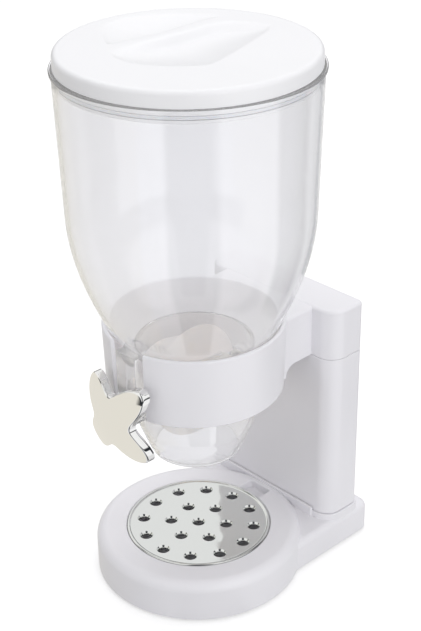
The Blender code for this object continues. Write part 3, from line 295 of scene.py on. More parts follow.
@dataclass(frozen=True)
class ClearStyrene:
    """Clear polystyrene from a polished mould: glass-like, with slow flow ripples and a faint cold tint.

    Attributes:
        name: name of the material.
        colour: tint of the light that passes.
        shade: tint of the light that passes on its way from a lamp.
        roughness: lowest and highest roughness.
        ripple: distance between flow ripples, in millimetres.
        depth: height of the ripples, in millimetres.
        clarity: share of light that isn't scattered at a surface, low down and high up.
        frost: heights between which the haze of the thick lower part thins out, in millimetres.
        stretch: scale of the ripples' pattern along each axis; a low one draws them out.
        patches: distance between patches of roughness, in millimetres.
        ior: how strongly it bends light.
    """

    name: str = "clear styrene, polished mould"
    colour: str = "#FEFEFF"
    shade: str = "#FFFFFF"
    roughness: Point = (0.01, 0.03)
    ripple: float = 34.0
    depth: float = 0.12
    clarity: Point = (0.8, 0.92)
    frost: Point = (200.0, 250.0)
    stretch: Corner = (1.0, 1.0, 0.3)
    patches: float = 22.0
    ior: float = 1.59

    def material(self) -> bpy.types.Material:
        """Builds the material, which rays on their way to a light or from a matt surface pass unbent.

        Returns:
            The material.
        """
        material, tree, shader = blank_material(self.name)
        place = object_place(tree)
        flow = add_node(tree, "ShaderNodeMapping", {"Scale": self.stretch},
                        {"Vector": place}).outputs["Vector"]
        height = add_node(tree, "ShaderNodeSeparateXYZ", links={"Vector": place}).outputs["Z"]
        frost = (self.frost[0] * MM, self.frost[1] * MM)
        set_inputs(shader, {"Base Color": (*linear(self.colour), 1), "IOR": self.ior},
                   {"Normal": bump(tree, noise(tree, flow, self.ripple, 1), self.depth, 0.5),
                    "Roughness": map_range(tree, noise(tree, place, self.patches, 3), NOISE_MIDDLE,
                                           self.roughness),
                    "Transmission Weight": map_range(tree, height, frost, self.clarity)})
        path = add_node(tree, "ShaderNodeLightPath").outputs
        lit = calculate(tree, "MAXIMUM", path["Is Shadow Ray"], path["Is Diffuse Ray"])
        open_way = add_node(tree, "ShaderNodeBsdfTransparent", {"Color": (*linear(self.shade), 1)})
        mix = add_node(tree, "ShaderNodeMixShader",
                       links={0: lit, 1: shader.outputs["BSDF"], 2: open_way.outputs["BSDF"]})
        set_inputs(tree.nodes["Material Output"], links={"Surface": mix.outputs["Shader"]})
        return material


@dataclass(frozen=True)
class PlatedMetal:
    """Bright plate: a mirror with slow waves, hazy patches and hair-fine rub marks.

    Attributes:
        name: name of the material.
        colour: colour of the reflection.
        roughness: lowest and highest roughness.
        wave: distance between slow waves, in millimetres.
        depth: height of the waves, in millimetres.
        rub: depth of the rub marks, in millimetres.
        hair: distance between rub marks, in millimetres, wide enough for them to show.
        patches: distance between patches of roughness, in millimetres.
    """

    name: str
    colour: str
    roughness: Point
    wave: float = 26.0
    depth: float = 0.05
    rub: float = 0.002
    hair: float = 0.5
    patches: float = 14.0

    def material(self) -> bpy.types.Material:
        """Builds the material.

        Returns:
            The material.
        """
        material, tree, shader = blank_material(self.name)
        place = object_place(tree)
        slow = bump(tree, noise(tree, place, self.wave, 1), self.depth, 0.5)
        streaks = add_node(tree, "ShaderNodeMapping", {"Rotation": (0, 0, 0.5), "Scale": (1, 0.04, 1)},
                           {"Vector": place}).outputs["Vector"]
        set_inputs(shader, {"Base Color": (*linear(self.colour), 1), "Metallic": 1},
                   {"Normal": bump(tree, noise(tree, streaks, self.hair, 2), self.rub, 0.4, slow),
                    "Roughness": map_range(tree, noise(tree, place, self.patches, 4), NOISE_MIDDLE,
                                           self.roughness)})
        return material


ABS_WHITE = MouldedPlastic("white ABS, satin moulded", "#EEEDF1", "#EBEAEE", (0.30, 0.38), 1.6, 0.004)
LID_WHITE = MouldedPlastic("white ABS, gloss moulded", "#F2F2F4", "#F0F0F2", (0.29, 0.34), 2.0, 0.0015)
CLEAR = ClearStyrene()
TRAY_CHROME = PlatedMetal("bright chrome plate on pressed steel", "#E8EAE8", (0.04, 0.09), 16, 0.8)
KNOB_CHROME = PlatedMetal("bright chrome plate on moulded ABS", "#F7F7F6", (0.02, 0.06), 30, 0.03)
ZINC = PlatedMetal("zinc-plated screw steel", "#C4C6C8", (0.3, 0.42), 3, 0.01, 0.004)
SILICONE = MouldedPlastic("cream silicone rubber, moulded", "#F9EEE6", "#F5E7DD", (0.42, 0.55), 1.6, 0.01,
                          scatter=0.7)
SEAL_SILICONE = MouldedPlastic("frosted silicone rubber, moulded", "#EDEDEF", "#E6E6E9", (0.4, 0.5), 1.2,
                               0.006, scatter=0.4)
ACETAL = MouldedPlastic("natural acetal, moulded", "#F0EEE6", "#E9E7DE", (0.3, 0.42), 0.9, 0.004)
RUBBER = MouldedPlastic("black rubber, moulded", "#2B2B2D", "#353537", (0.6, 0.78), 0.8, 0.03)


def rounded(corners: Sequence[Corner], steps: int = 6, closed: bool = False) -> list[Point]:
    """Draws a line with an arc in place of each corner that has a radius.

    Args:
        corners: x, y and radius of each corner.
        steps: segments of each arc.
        closed: whether the last corner joins the first.

    Returns:
        Points of the line.
    """
    points: list[Point] = []
    last = len(corners) - 1
    for index, (x, y, radius) in enumerate(corners):
        if not radius or (not closed and index in (0, last)):
            points.append((x, y))
            continue
        here = Vector((x, y))
        back = Vector(corners[index - 1][:2]) - here
        ahead = Vector(corners[(index + 1) % len(corners)][:2]) - here
        half = back.angle(ahead) / 2
        centre = here + (back.normalized() + ahead.normalized()).normalized() * (radius / math.sin(half))
        reach = radius / math.tan(half)
        first = here + back.normalized() * reach - centre
        final = here + ahead.normalized() * reach - centre
        for step in range(steps + 1):
            spoke = first.slerp(final, step / steps, first)
            points.append(tuple(centre + spoke.normalized() * radius))
    return points


def rounded_box(low: Point, high: Point, front: float, rear: float, steps: int = 12) -> list[Point]:
    """Draws a rectangle with its own corner radius at the front and at the rear.

    Args:
        low: corner with the lowest x and y.
        high: corner with the highest x and y.
        front: radius of the two corners with the lowest y.
        rear: radius of the two corners with the highest y.
        steps: segments of each arc.

    Returns:
        Points of the outline.
    """
    corners = ((low[0], low[1], front), (high[0], low[1], front), (high[0], high[1], rear),
               (low[0], high[1], rear))
    return rounded(corners, steps, closed=True)


def drum_line(radius: float, low: float, high: float, rounds: Point = (0.0, 0.0),
              steps: int = 4) -> list[Point]:
    """Draws the profile of a plain turned solid whose lower and upper rim are rounded."""
    return rounded(((0, low, 0), (radius, low, rounds[0]), (radius, high, rounds[1]), (0, high, 0)), steps)


def bend(start: Point, end: Point, shares: Sequence[Point], steps: int) -> list[Point]:
    """Draws a cubic curve whose handles are shares of the way from start to end.

    Args:
        start: first point.
        end: last point.
        shares: shares along both axes for the two handles.
        steps: segments of the curve.

    Returns:
        Points of the curve, both ends included.
    """
    way = [b - a for a, b in zip(start, end)]
    four = np.array([start, *[[a + w * s for a, w, s in zip(start, way, pair)] for pair in shares], end])
    parts = np.linspace(0, 1, steps + 1)[:, None]
    rest = 1 - parts
    curve = (rest ** 3 * four[0] + 3 * rest ** 2 * parts * four[1] + 3 * rest * parts ** 2 * four[2]
             + parts ** 3 * four[3])
    return [tuple(point) for point in curve.tolist()]


def smooth_line(corners: Sequence[Point], count: int) -> list[Point]:
    """Draws a smooth curve through the corners.

    Args:
        corners: points that the curve passes.
        count: number of points drawn.

    Returns:
        Points of the curve, both ends included.
    """
    points: list[Point] = []
    last = len(corners) - 1
    for step in range(count):
        place = step * last / (count - 1)
        index = min(int(place), last - 1)
        part = place - index
        four = [corners[max(0, min(last, index + shift))] for shift in (-1, 0, 1, 2)]
        points.append(tuple(
            (2 * b + (c - a) * part + (2 * a - 5 * b + 4 * c - d) * part ** 2
             + (3 * b - a - 3 * c + d) * part ** 3) / 2
            for a, b, c, d in zip(*four)))
    return points


def moved_in(points: Sequence[Point], distance: float) -> list[Point]:
    """Moves an open line to its left.

    Args:
        points: the line.
        distance: how far it moves, at right angles to its run.

    Returns:
        Points of the moved line.
    """
    line = np.array(points)
    run = np.gradient(line, axis=0)
    run /= np.linalg.norm(run, axis=1)[:, None]
    side = np.stack((-run[:, 1], run[:, 0]), axis=1)
    return [tuple(point) for point in (line + side * distance).tolist()]


def round_edges(mesh: bmesh.types.BMesh, edges: Iterable[bmesh.types.BMEdge], radius: float,
                segments: int) -> None:
    """Rounds edges of a mesh."""
    bmesh.ops.bevel(mesh, geom=edges, offset=radius, segments=segments, profile=0.5, affect="EDGES",
                    clamp_overlap=True, material=-1)


def place_mesh(name: str, mesh: bmesh.types.BMesh) -> Thing:
    """Welds a mesh, turns its faces outwards and puts it into the scene.

    Args:
        name: name of the piece.
        mesh: mesh to hand over; it is freed.

    Returns:
        The new object.
    """
    bmesh.ops.remove_doubles(mesh, verts=mesh.verts, dist=WELD)
    bmesh.ops.dissolve_degenerate(mesh, edges=mesh.edges, dist=WELD)
    bmesh.ops.recalc_face_normals(mesh, faces=mesh.faces)
    data = bpy.data.meshes.new(name)
    mesh.to_mesh(data)
    mesh.free()
    thing = bpy.data.objects.new(name, data)
    bpy.context.scene.collection.objects.link(thing)
    return thing


def lathe_mesh(profile: Sequence[Point], steps: int, start: float = 0.0, sweep: float = FULL_TURN,
               closed: bool = False) -> bmesh.types.BMesh:
    """Spins a profile about the Z axis.

    Args:
        profile: radius and height of each point.
        steps: facets round the sweep.
        start: heading of the first facet, in radians.
        sweep: angle that the spin covers.
        closed: whether the last point joins the first.

    Returns:
        The spun mesh, not yet welded.
    """
    mesh = bmesh.new()
    corners = [mesh.verts.new((radius, 0, height)) for radius, height in profile]
    lines = [mesh.edges.new(pair) for pair in zip(corners, corners[1:])]
    if closed:
        lines.append(mesh.edges.new((corners[-1], corners[0])))
    bmesh.ops.rotate(mesh, verts=corners, matrix=Matrix.Rotation(start, 3, "Z"))
    bmesh.ops.spin(mesh, geom=corners + lines, cent=(0, 0, 0), axis=(0, 0, 1), angle=sweep, steps=steps,
                   use_merge=sweep == FULL_TURN)
    return mesh


def lathe(name: str, profile: Sequence[Point], steps: int = STEPS, closed: bool = False) -> Thing:
    """Makes a full turned piece from a profile of radii and heights."""
    return place_mesh(name, lathe_mesh(profile, steps, closed=closed))


def prism(name: str, outline: Sequence[Point], bottom: float, top: float, top_round: float = 0.0,
          bottom_round: float = 0.0) -> Thing:
    """Raises an outline, with its top and bottom edges rounded where a radius is given.

    Args:
        name: name of the piece.
        outline: points of the outline.
        bottom: lowest height.
        top: highest height.
        top_round: radius of the top edge.
        bottom_round: radius of the bottom edge.

    Returns:
        The new object.
    """
    mesh = bmesh.new()
    floor = mesh.faces.new([mesh.verts.new((x, y, bottom)) for x, y in outline])
    raised = bmesh.ops.extrude_face_region(mesh, geom=[floor])
    upper = [item for item in raised["geom"] if isinstance(item, bmesh.types.BMVert)]
    bmesh.ops.translate(mesh, verts=upper, vec=(0, 0, top - bottom))
    for height, radius in ((top, top_round), (bottom, bottom_round)):
        if radius:
            edges = [edge for edge in mesh.edges if all(abs(end.co.z - height) < WELD for end in edge.verts)]
            round_edges(mesh, edges, radius, 6)
    return place_mesh(name, mesh)


def block(name: str, low: Corner, high: Corner) -> Thing:
    """Makes a plain block, used only as a tool that joins or cuts."""
    return prism(name, rounded_box(low[:2], high[:2], 0, 0), low[2], high[2])


def disc(name: str, radius: float, bottom: float, top: float, steps: int) -> Thing:
    """Makes a plain upright cylinder, used only as a tool that joins or cuts."""
    return lathe(name, drum_line(radius, bottom, top), steps)


def turned(thing: Thing, matrix: Matrix) -> Thing:
    """Moves or turns a piece's mesh."""
    thing.data.transform(matrix)
    return thing


def moved(thing: Thing, x: float, y: float, z: float = 0.0) -> Thing:
    """Moves a piece's mesh."""
    return turned(thing, Matrix.Translation((x, y, z)))


def grouped(name: str, things: Iterable[Thing]) -> Thing:
    """Puts separate solids into one object.

    Args:
        name: name of the new object.
        things: solids that don't touch; they are removed.

    Returns:
        The new object.
    """
    mesh = bmesh.new()
    for thing in things:
        mesh.from_mesh(thing.data)
        bpy.data.objects.remove(thing)
    return place_mesh(name, mesh)


def repeated(name: str, make: Callable[[], Thing], places: Iterable[Point]) -> Thing:
    """Puts one copy of the solid that make gives at each place, all in one object."""
    return grouped(name, [moved(make(), x, y) for x, y in places])


def combine(target: Thing, tool: Thing, merge: Merge) -> Thing:
    """Joins a tool to a piece, cuts it away or keeps what both share.

    Args:
        target: piece that is changed.
        tool: solid that acts on it; it is removed.
        merge: what the tool does.

    Returns:
        The changed piece.
    """
    boolean = target.modifiers.new(merge.name, "BOOLEAN")
    boolean.operation = merge.value
    boolean.solver = "EXACT"
    boolean.object = tool
    graph = bpy.context.evaluated_depsgraph_get()
    result = bpy.data.meshes.new_from_object(target.evaluated_get(graph))
    target.modifiers.clear()
    mesh = bmesh.new()
    mesh.from_mesh(result)
    bmesh.ops.remove_doubles(mesh, verts=mesh.verts, dist=WELD)
    mesh.to_mesh(result)
    mesh.free()
    target.data = result
    bpy.data.objects.remove(tool)
    return target


def join(target: Thing, tool: Thing) -> Thing:
    """Joins the tool to the target."""
    return combine(target, tool, Merge.JOIN)


def cut(target: Thing, tool: Thing) -> Thing:
    """Cuts the tool away from the target."""
    return combine(target, tool, Merge.CUT)


def finish_piece(thing: Thing, body: Body, finish: bpy.types.Material, nodes: Sequence[str] = (),
                 sharp: float = 32.0, weighted: bool = False) -> Thing:
    """Sets a piece in place on the frame, with its finish and its shading.

    Args:
        thing: piece drawn in millimetres about the hopper's axis.
        body: body that carries it.
        finish: its material.
        nodes: CAD nodes that it stands for.
        sharp: angle in degrees past which an edge stays sharp.
        weighted: whether large flat faces steer the shading at their edges.

    Returns:
        The piece.
    """
    thing.data.transform(Matrix.Translation((AXIS.x, AXIS.y, 0)) @ Matrix.Scale(MM, 4))
    thing.data.materials.clear()
    thing.data.materials.append(finish)
    thing.data.shade_smooth()
    thing.data.set_sharp_from_angle(angle=math.radians(sharp))
    if weighted:
        shading = thing.modifiers.new("weighted normals", "WEIGHTED_NORMAL")
        shading.keep_sharp = True
        shading.weight = 60
    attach(thing, body.value)
    if nodes:
        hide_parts(*nodes)
    LOG.info("%s rides on %s, %d faces", thing.name, body.value, len(thing.data.polygons))
    return thing


@dataclass
class Palette:
    """One material for each finish, made once."""

    white: bpy.types.Material
    lid: bpy.types.Material
    clear: bpy.types.Material
    tray: bpy.types.Material
    knob: bpy.types.Material
    zinc: bpy.types.Material
    silicone: bpy.types.Material
    seal: bpy.types.Material
    acetal: bpy.types.Material
    rubber: bpy.types.Material

    @classmethod
    def mixed(cls) -> "Palette":
        """Builds every finish."""
        finishes = (ABS_WHITE, LID_WHITE, CLEAR, TRAY_CHROME, KNOB_CHROME, ZINC, SILICONE, SEAL_SILICONE,
                    ACETAL, RUBBER)
        return cls(*(finish.material() for finish in finishes))


@dataclass
class Stand:
    """Base, its cover and feet, the post in two mouldings, and the arm with its open-fronted collar."""

    palette: Palette
    disc_radius: float = 75.0
    disc_top: float = 32.0
    disc_round: float = 8.0
    block_half: float = 65.0
    block_rear: float = 117.5
    block_top: float = 25.0
    block_round: float = 5.0
    block_corner: float = 8.0
    underside: float = 2.0
    cover_top: float = 5.0
    wall: float = 2.5
    gap: float = 0.3
    well_radius: float = 50.5
    well_floor: float = 10.0
    ledge: float = 28.0
    pocket_radius: float = 53.0
    notch_half: float = 10.0
    notch_rear: float = 65.5
    notch_floor: float = 26.0
    post_half: float = 62.5
    post_front: float = 72.7
    post_rear: float = 105.0
    post_front_round: float = 13.0
    post_rear_round: float = 4.5
    plinth_top: float = 29.5
    seam: float = 161.7
    post_top: float = 200.0
    arm_half: float = 42.6
    arm_top: float = 199.5
    arm_round: float = 2.2
    sweep: float = 9.0
    collar_top: float = 203.6
    collar_bottom: float = 152.7
    collar_radius: float = 63.3
    collar_draft: float = 1.5
    collar_wall: float = 3.1
    slot_half: float = 15.5
    post_wall: float = 2.8
    rib_half: float = 48.0
    rib_front: float = 70.1
    rib_rear: float = 72.1
    rib_round: float = 0.9
    well_outside: float = 55.5
    well_under: float = 7.5
    well_top: float = 30.8
    foot_inset: float = 13.0
    foot_heading: float = math.radians(60)
    screw_inset: float = 11.0
    screw_heading: float = math.radians(38)

    def post_outline(self, inset: float = 0.0) -> list[Point]:
        """Cross-section of the post, drawn in by the inset."""
        return rounded_box((inset - self.post_half, self.post_front + inset),
                           (self.post_half - inset, self.post_rear - inset),
                           self.post_front_round - inset, self.post_rear_round - inset)

    def block_outline(self, inset: float) -> list[Point]:
        """Outline of the base's rear block, drawn in by the inset."""
        return rounded_box((inset - self.block_half, 0), (self.block_half - inset, self.block_rear - inset),
                           self.block_round, self.block_corner - inset)

    def base_blank(self, name: str, inset: float, bottom: float) -> Thing:
        """Disc and rear block joined, drawn in by the inset.

        Args:
            name: name of the solid.
            inset: how far its outside is drawn in.
            bottom: height of its underside.

        Returns:
            The solid.
        """
        profile = drum_line(self.disc_radius - inset, bottom, self.disc_top - inset,
                            (0, self.disc_round - inset), 12)
        blank = lathe(name, profile, FINE_STEPS)
        return join(blank, prism("block", self.block_outline(inset), bottom, self.block_top - inset,
                                 self.block_round - inset))

    def shoulder(self) -> Thing:
        """Sloping shoulder that eases the disc's edge down onto the block.

        Returns:
            The solid.
        """
        top = self.disc_top - self.disc_round / 2
        inner = self.disc_radius - self.disc_round / 2
        outer = self.disc_radius + 6
        foot = self.block_top - self.block_round / 2
        slope = bend((inner, top), (outer, self.block_top), ((0.2, 0.75), (0.55, 0.97)), 10)
        line = [(inner - 2, foot), (outer, foot)] + slope[::-1] + [(inner - 2, top)]
        ring = lathe("shoulder", line, FINE_STEPS, closed=True)
        reach = self.block_half - self.block_round
        room = block("room", (-reach, 0, self.underside), (reach, self.block_rear, self.disc_top))
        return combine(ring, room, Merge.KEEP)

    def base(self) -> Thing:
        """Base moulding: crumb well, tray ledge, thumb notch, rib and plinth.

        Returns:
            The piece.
        """
        base = self.base_blank("base_moulding", 0, self.underside)
        join(base, self.shoulder())
        join(base, prism("plinth", self.post_outline(-1.5), self.block_top - 2, self.plinth_top, 0.7))
        rib = rounded_box((-self.rib_half, self.rib_front), (self.rib_half, self.rib_rear), self.rib_round,
                          self.rib_round, 6)
        join(base, prism("rib", rib, self.block_top - 1, self.disc_top + 0.5, 0.45))
        cut(base, self.base_blank("room", self.wall, self.underside - 2))
        join(base, lathe("well", drum_line(self.well_outside, self.well_under, self.well_top)))
        lip = self.pocket_radius + 0.5
        well = rounded(((0, self.well_floor, 0), (self.well_radius, self.well_floor, 2.0),
                        (self.well_radius, self.ledge, 0.3), (self.pocket_radius, self.ledge, 0.3),
                        (self.pocket_radius, self.disc_top - 0.5, 0), (lip, self.disc_top, 0),
                        (lip, self.disc_top + 3, 0), (0, self.disc_top + 3, 0)), 4)
        cut(base, lathe("well_cut", well))
        wall = rounded_box((-self.notch_half - self.wall, 50.0),
                           (self.notch_half + self.wall, self.notch_rear + self.wall), 1.0, 2.0)
        join(base, prism("notch_wall", wall, self.notch_floor - self.wall, self.disc_top - 1))
        cut(base, lathe("well_again", well))
        notch = rounded_box((-self.notch_half, 45.0), (self.notch_half, self.notch_rear), 1.0, 1.6)
        cut(base, prism("notch", notch, self.notch_floor, self.disc_top + 4, 0, 1.0))
        edge = rounded_box((-self.notch_half - 0.5, 51.0), (self.notch_half + 0.5, self.notch_rear + 0.5),
                           1.0, 2.1)
        return cut(base, prism("notch_lip", edge, self.disc_top - 0.5, self.disc_top + 5, 0, 0.49))

    def pairs(self, inset: float, heading: float, rear: Point) -> list[Point]:
        """Two places on a ring at the front of the disc and two at the rear, each pair left and right.

        Args:
            inset: how far the ring lies inside the disc's edge.
            heading: how far the front places stand from the side, in radians.
            rear: x and y of the right rear place.

        Returns:
            The four places.
        """
        ring = self.disc_radius - inset
        front = (ring * math.cos(heading), -ring * math.sin(heading))
        return [(side * x, y) for x, y in (front, rear) for side in (-1, 1)]

    def foot_places(self) -> list[Point]:
        """Places of the four feet."""
        rear = (self.block_half - self.foot_inset, self.block_rear - self.foot_inset)
        return self.pairs(self.foot_inset, self.foot_heading, rear)

    def screw_places(self) -> list[Point]:
        """Places of the cover's four screws."""
        rear = (self.block_half - 10, self.post_front - 8.7)
        return self.pairs(self.screw_inset, self.screw_heading, rear)

    def cover(self) -> Thing:
        """Flat underside cover with recesses for the feet and countersunk holes.

        Returns:
            The piece.
        """
        inset = self.wall + self.gap
        foot = self.underside
        edge = drum_line(self.disc_radius - inset, foot, self.cover_top, (0.6, 0))
        cover = join(lathe("base_cover_panel", edge),
                     prism("cover_block", self.block_outline(inset), foot, self.cover_top, 0, 0.6))
        recess = drum_line(7.8, foot - 2, foot + 1.2)
        cut(cover, repeated("recesses", lambda: lathe("recess", recess, 48), self.foot_places()))
        sink = [(0, 0), (3.9, 0), (3.9, 2.3), (2.0, 4.2), (2.0, 8), (0, 8)]
        return cut(cover, repeated("sinks", lambda: lathe("sink", sink, 32), self.screw_places()))

    def foot(self, name: str, x: float, y: float) -> Thing:
        """Rubber foot with a rounded edge and a shallow ring pressed into its sole."""
        profile = rounded(((0, 0.35, 0), (3.0, 0.35, 0.2), (3.4, 0, 0.2), (7.5, 0, 0.8), (7.5, 2.9, 0),
                           (0, 2.9, 0)), 4)
        return moved(lathe(name, profile, 48), x, y)

    def screw(self, name: str, x: float, y: float) -> Thing:
        """Countersunk cover screw with a cross recess.

        Args:
            name: name of the piece.
            x: its place across.
            y: its place from front to rear.

        Returns:
            The piece.
        """
        profile = rounded(((0, 0, 0), (3.6, 0, 0.15), (1.7, 1.9, 0.3), (1.7, 12.3, 0), (0, 14, 0)), 3)
        screw = moved(lathe(name, profile, 40), 0, 0, self.underside + self.gap)
        for heading in (0, math.pi / 2):
            slot = block("recess", (-1.9, -0.45, 0), (1.9, 0.45, 3.6))
            cut(screw, turned(slot, Matrix.Rotation(heading, 4, "Z")))
        return moved(screw, x, y)

    def lower_post(self) -> Thing:
        """Hollow column from the plinth to the seam.

        Returns:
            The piece.
        """
        top = self.seam - self.gap
        post = prism("lower_post_moulding", self.post_outline(), self.plinth_top + self.gap, top, 0.35, 0.35)
        return cut(post, prism("room", self.post_outline(self.post_wall), self.plinth_top - 2, top - 3.5))

    def arm(self, name: str, inset: float, rear: float, drop: float, edge: float) -> Thing:
        """Arm between collar and post.

        Args:
            name: name of the solid.
            inset: how far its sides and top are drawn in.
            rear: how far back it runs.
            drop: how far its underside is lowered.
            edge: radius of its two long top edges.

        Returns:
            The solid.
        """
        front = math.sqrt(self.collar_radius ** 2 - self.arm_half ** 2) - self.collar_wall
        foot = self.collar_bottom
        line = rounded(((front, foot, 0), (front + self.collar_wall, foot, 0),
                        (front + self.collar_wall, self.seam, self.sweep), (rear, self.seam, 0)), 14)
        top = self.arm_top - inset
        side = [(y, z - drop) for y, z in line] + [(rear, top), (front, top)]
        mesh = bmesh.new()
        half = self.arm_half - inset
        near = mesh.faces.new([mesh.verts.new((-half, y, z)) for y, z in side])
        raised = bmesh.ops.extrude_face_region(mesh, geom=[near])
        far = [item for item in raised["geom"] if isinstance(item, bmesh.types.BMVert)]
        bmesh.ops.translate(mesh, verts=far, vec=(2 * half, 0, 0))
        if edge:
            long_edges = [line for line in mesh.edges
                          if all(abs(end.co.z - top) < WELD for end in line.verts)
                          and abs(line.verts[0].co.x - line.verts[1].co.x) < WELD]
            round_edges(mesh, long_edges, edge, 6)
        return place_mesh(name, mesh)

    def collar(self) -> Thing:
        """Open-fronted collar with a round lip and rounded ends at the slot.

        Returns:
            The solid.
        """
        foot = self.collar_radius - self.collar_draft
        wall = self.collar_wall
        top = self.collar_top
        corners = ((foot - wall, self.collar_bottom, 0.5), (foot, self.collar_bottom, 0.9),
                   (self.collar_radius, top, 1.5), (self.collar_radius - wall, top, 1.5))
        profile = rounded(corners, 6, closed=True)
        half = math.asin(self.slot_half / (self.collar_radius - wall / 2))
        mesh = lathe_mesh(profile, COLLAR_STEPS, half - math.pi / 2, FULL_TURN - 2 * half, closed=True)
        bmesh.ops.remove_doubles(mesh, verts=mesh.verts, dist=WELD)
        ends = [edge for edge in mesh.edges if edge.is_boundary]
        bmesh.ops.holes_fill(mesh, edges=ends, sides=0)
        bmesh.ops.recalc_face_normals(mesh, faces=mesh.faces)
        round_edges(mesh, ends, 1.1, 5)
        return place_mesh("collar", mesh)

    def bracket(self) -> Thing:
        """Column head, arm and collar in one moulding, hollow from below.

        Returns:
            The piece.
        """
        bracket = prism("upper_bracket_moulding", self.post_outline(), self.seam, self.post_top, 2.5, 0.35)
        join(bracket, self.arm("arm", 0, self.post_front + 3, 0, self.arm_round))
        wall, above = self.post_wall, self.post_top + 2
        cut(bracket, prism("room", self.post_outline(wall), self.seam - 2, self.post_top - wall))
        hollow = self.arm("arm_room", wall, self.post_front, 2, 0)
        cut(hollow, disc("collar_space", self.collar_radius, self.collar_bottom - 4, above, COLLAR_STEPS))
        cut(bracket, hollow)
        middle = self.collar_radius - self.collar_draft - self.collar_wall / 2
        cut(bracket, disc("bore", middle, self.collar_bottom - 2, above, COLLAR_STEPS))
        return join(bracket, self.collar())

    def build(self) -> None:
        """Makes and dresses every piece of the stand."""
        white = self.palette.white
        finish_piece(self.base(), Body.STAND, white, ["base_shell"], weighted=True)
        finish_piece(self.cover(), Body.STAND, white, ["base_cover"])
        finish_piece(self.lower_post(), Body.STAND, white, ["lower_post"], weighted=True)
        finish_piece(self.bracket(), Body.STAND, white, ["upper_bracket"], weighted=True)
        for number, (x, y) in enumerate(self.foot_places(), 1):
            foot = self.foot(f"rubber_foot_{number}", x, y)
            finish_piece(foot, Body.STAND, self.palette.rubber, [f"foot_{number}"])
        for number, (x, y) in enumerate(self.screw_places(), 1):
            screw = self.screw(f"cover_screw_piece_{number}", x, y)
            finish_piece(screw, Body.STAND, self.palette.zinc, [f"cover_screw_{number}"])


@dataclass
class CrumbTray:
    """Pressed tray of plated steel with nineteen flanged holes and a rolled rim."""

    palette: Palette
    radius: float = 52.7
    plate_top: float = 31.4
    plate: float = 1.0
    bead_top: float = 32.5
    bead: float = 1.1
    foot: float = 28.3
    mouth: float = 4.8
    throat: float = 3.65
    roll: float = 2.7
    flange_foot: float = 28.8
    flange_wall: float = 0.6
    rings: tuple[tuple[float, int], ...] = ((20.45, 6), (40.9, 12))
    heading: float = math.radians(158.5)
    bead_turn: float = math.pi * 0.86
    dish_run: float = 4.2
    hole_steps: int = 32

    def hole_places(self) -> list[Point]:
        """Centres of the holes.

        Returns:
            x and y of each hole.
        """
        places = [(0.0, 0.0)]
        for radius, count in self.rings:
            for index in range(count):
                angle = self.heading + FULL_TURN * index / count
                places.append((radius * math.cos(angle), radius * math.sin(angle)))
        return places

    def build(self) -> None:
        """Makes and dresses the tray."""
        low = self.plate_top - self.plate
        skirt = self.radius - self.plate
        centre = (self.radius - self.bead, self.bead_top - self.bead)
        roll = [(centre[0] + self.bead * math.cos(angle), centre[1] + self.bead * math.sin(angle))
                for angle in np.linspace(0, self.bead_turn, 12)]
        dish = bend(roll[-1], (self.radius - self.dish_run, self.plate_top), ((0.35, 0.8), (0.65, 1.0)), 6)
        profile = [(0, low), (skirt, low), (skirt, self.foot), (self.radius, self.foot)] + roll + dish[1:]
        tray = lathe("chrome_tray", profile + [(0, self.plate_top)], FINE_STEPS)
        sleeve = drum_line(self.throat + self.flange_wall, self.flange_foot, self.plate_top - 0.4)
        flare = [(0, self.flange_foot - 2), (self.throat, self.flange_foot - 2)]
        flare += bend((self.throat, self.plate_top - self.roll), (self.mouth, self.plate_top),
                      ((0, 0.5), (0.6, 0.75)), 10)
        flare += [(self.mouth + 0.1, self.plate_top + 2), (0, self.plate_top + 2)]
        steps, places = self.hole_steps, self.hole_places()
        join(tray, repeated("sleeves", lambda: lathe("sleeve", sleeve, steps), places))
        cut(tray, repeated("holes", lambda: lathe("hole", flare, steps), places))
        finish_piece(tray, Body.TRAY, self.palette.tray, ["crumb_tray"], 40, weighted=True)


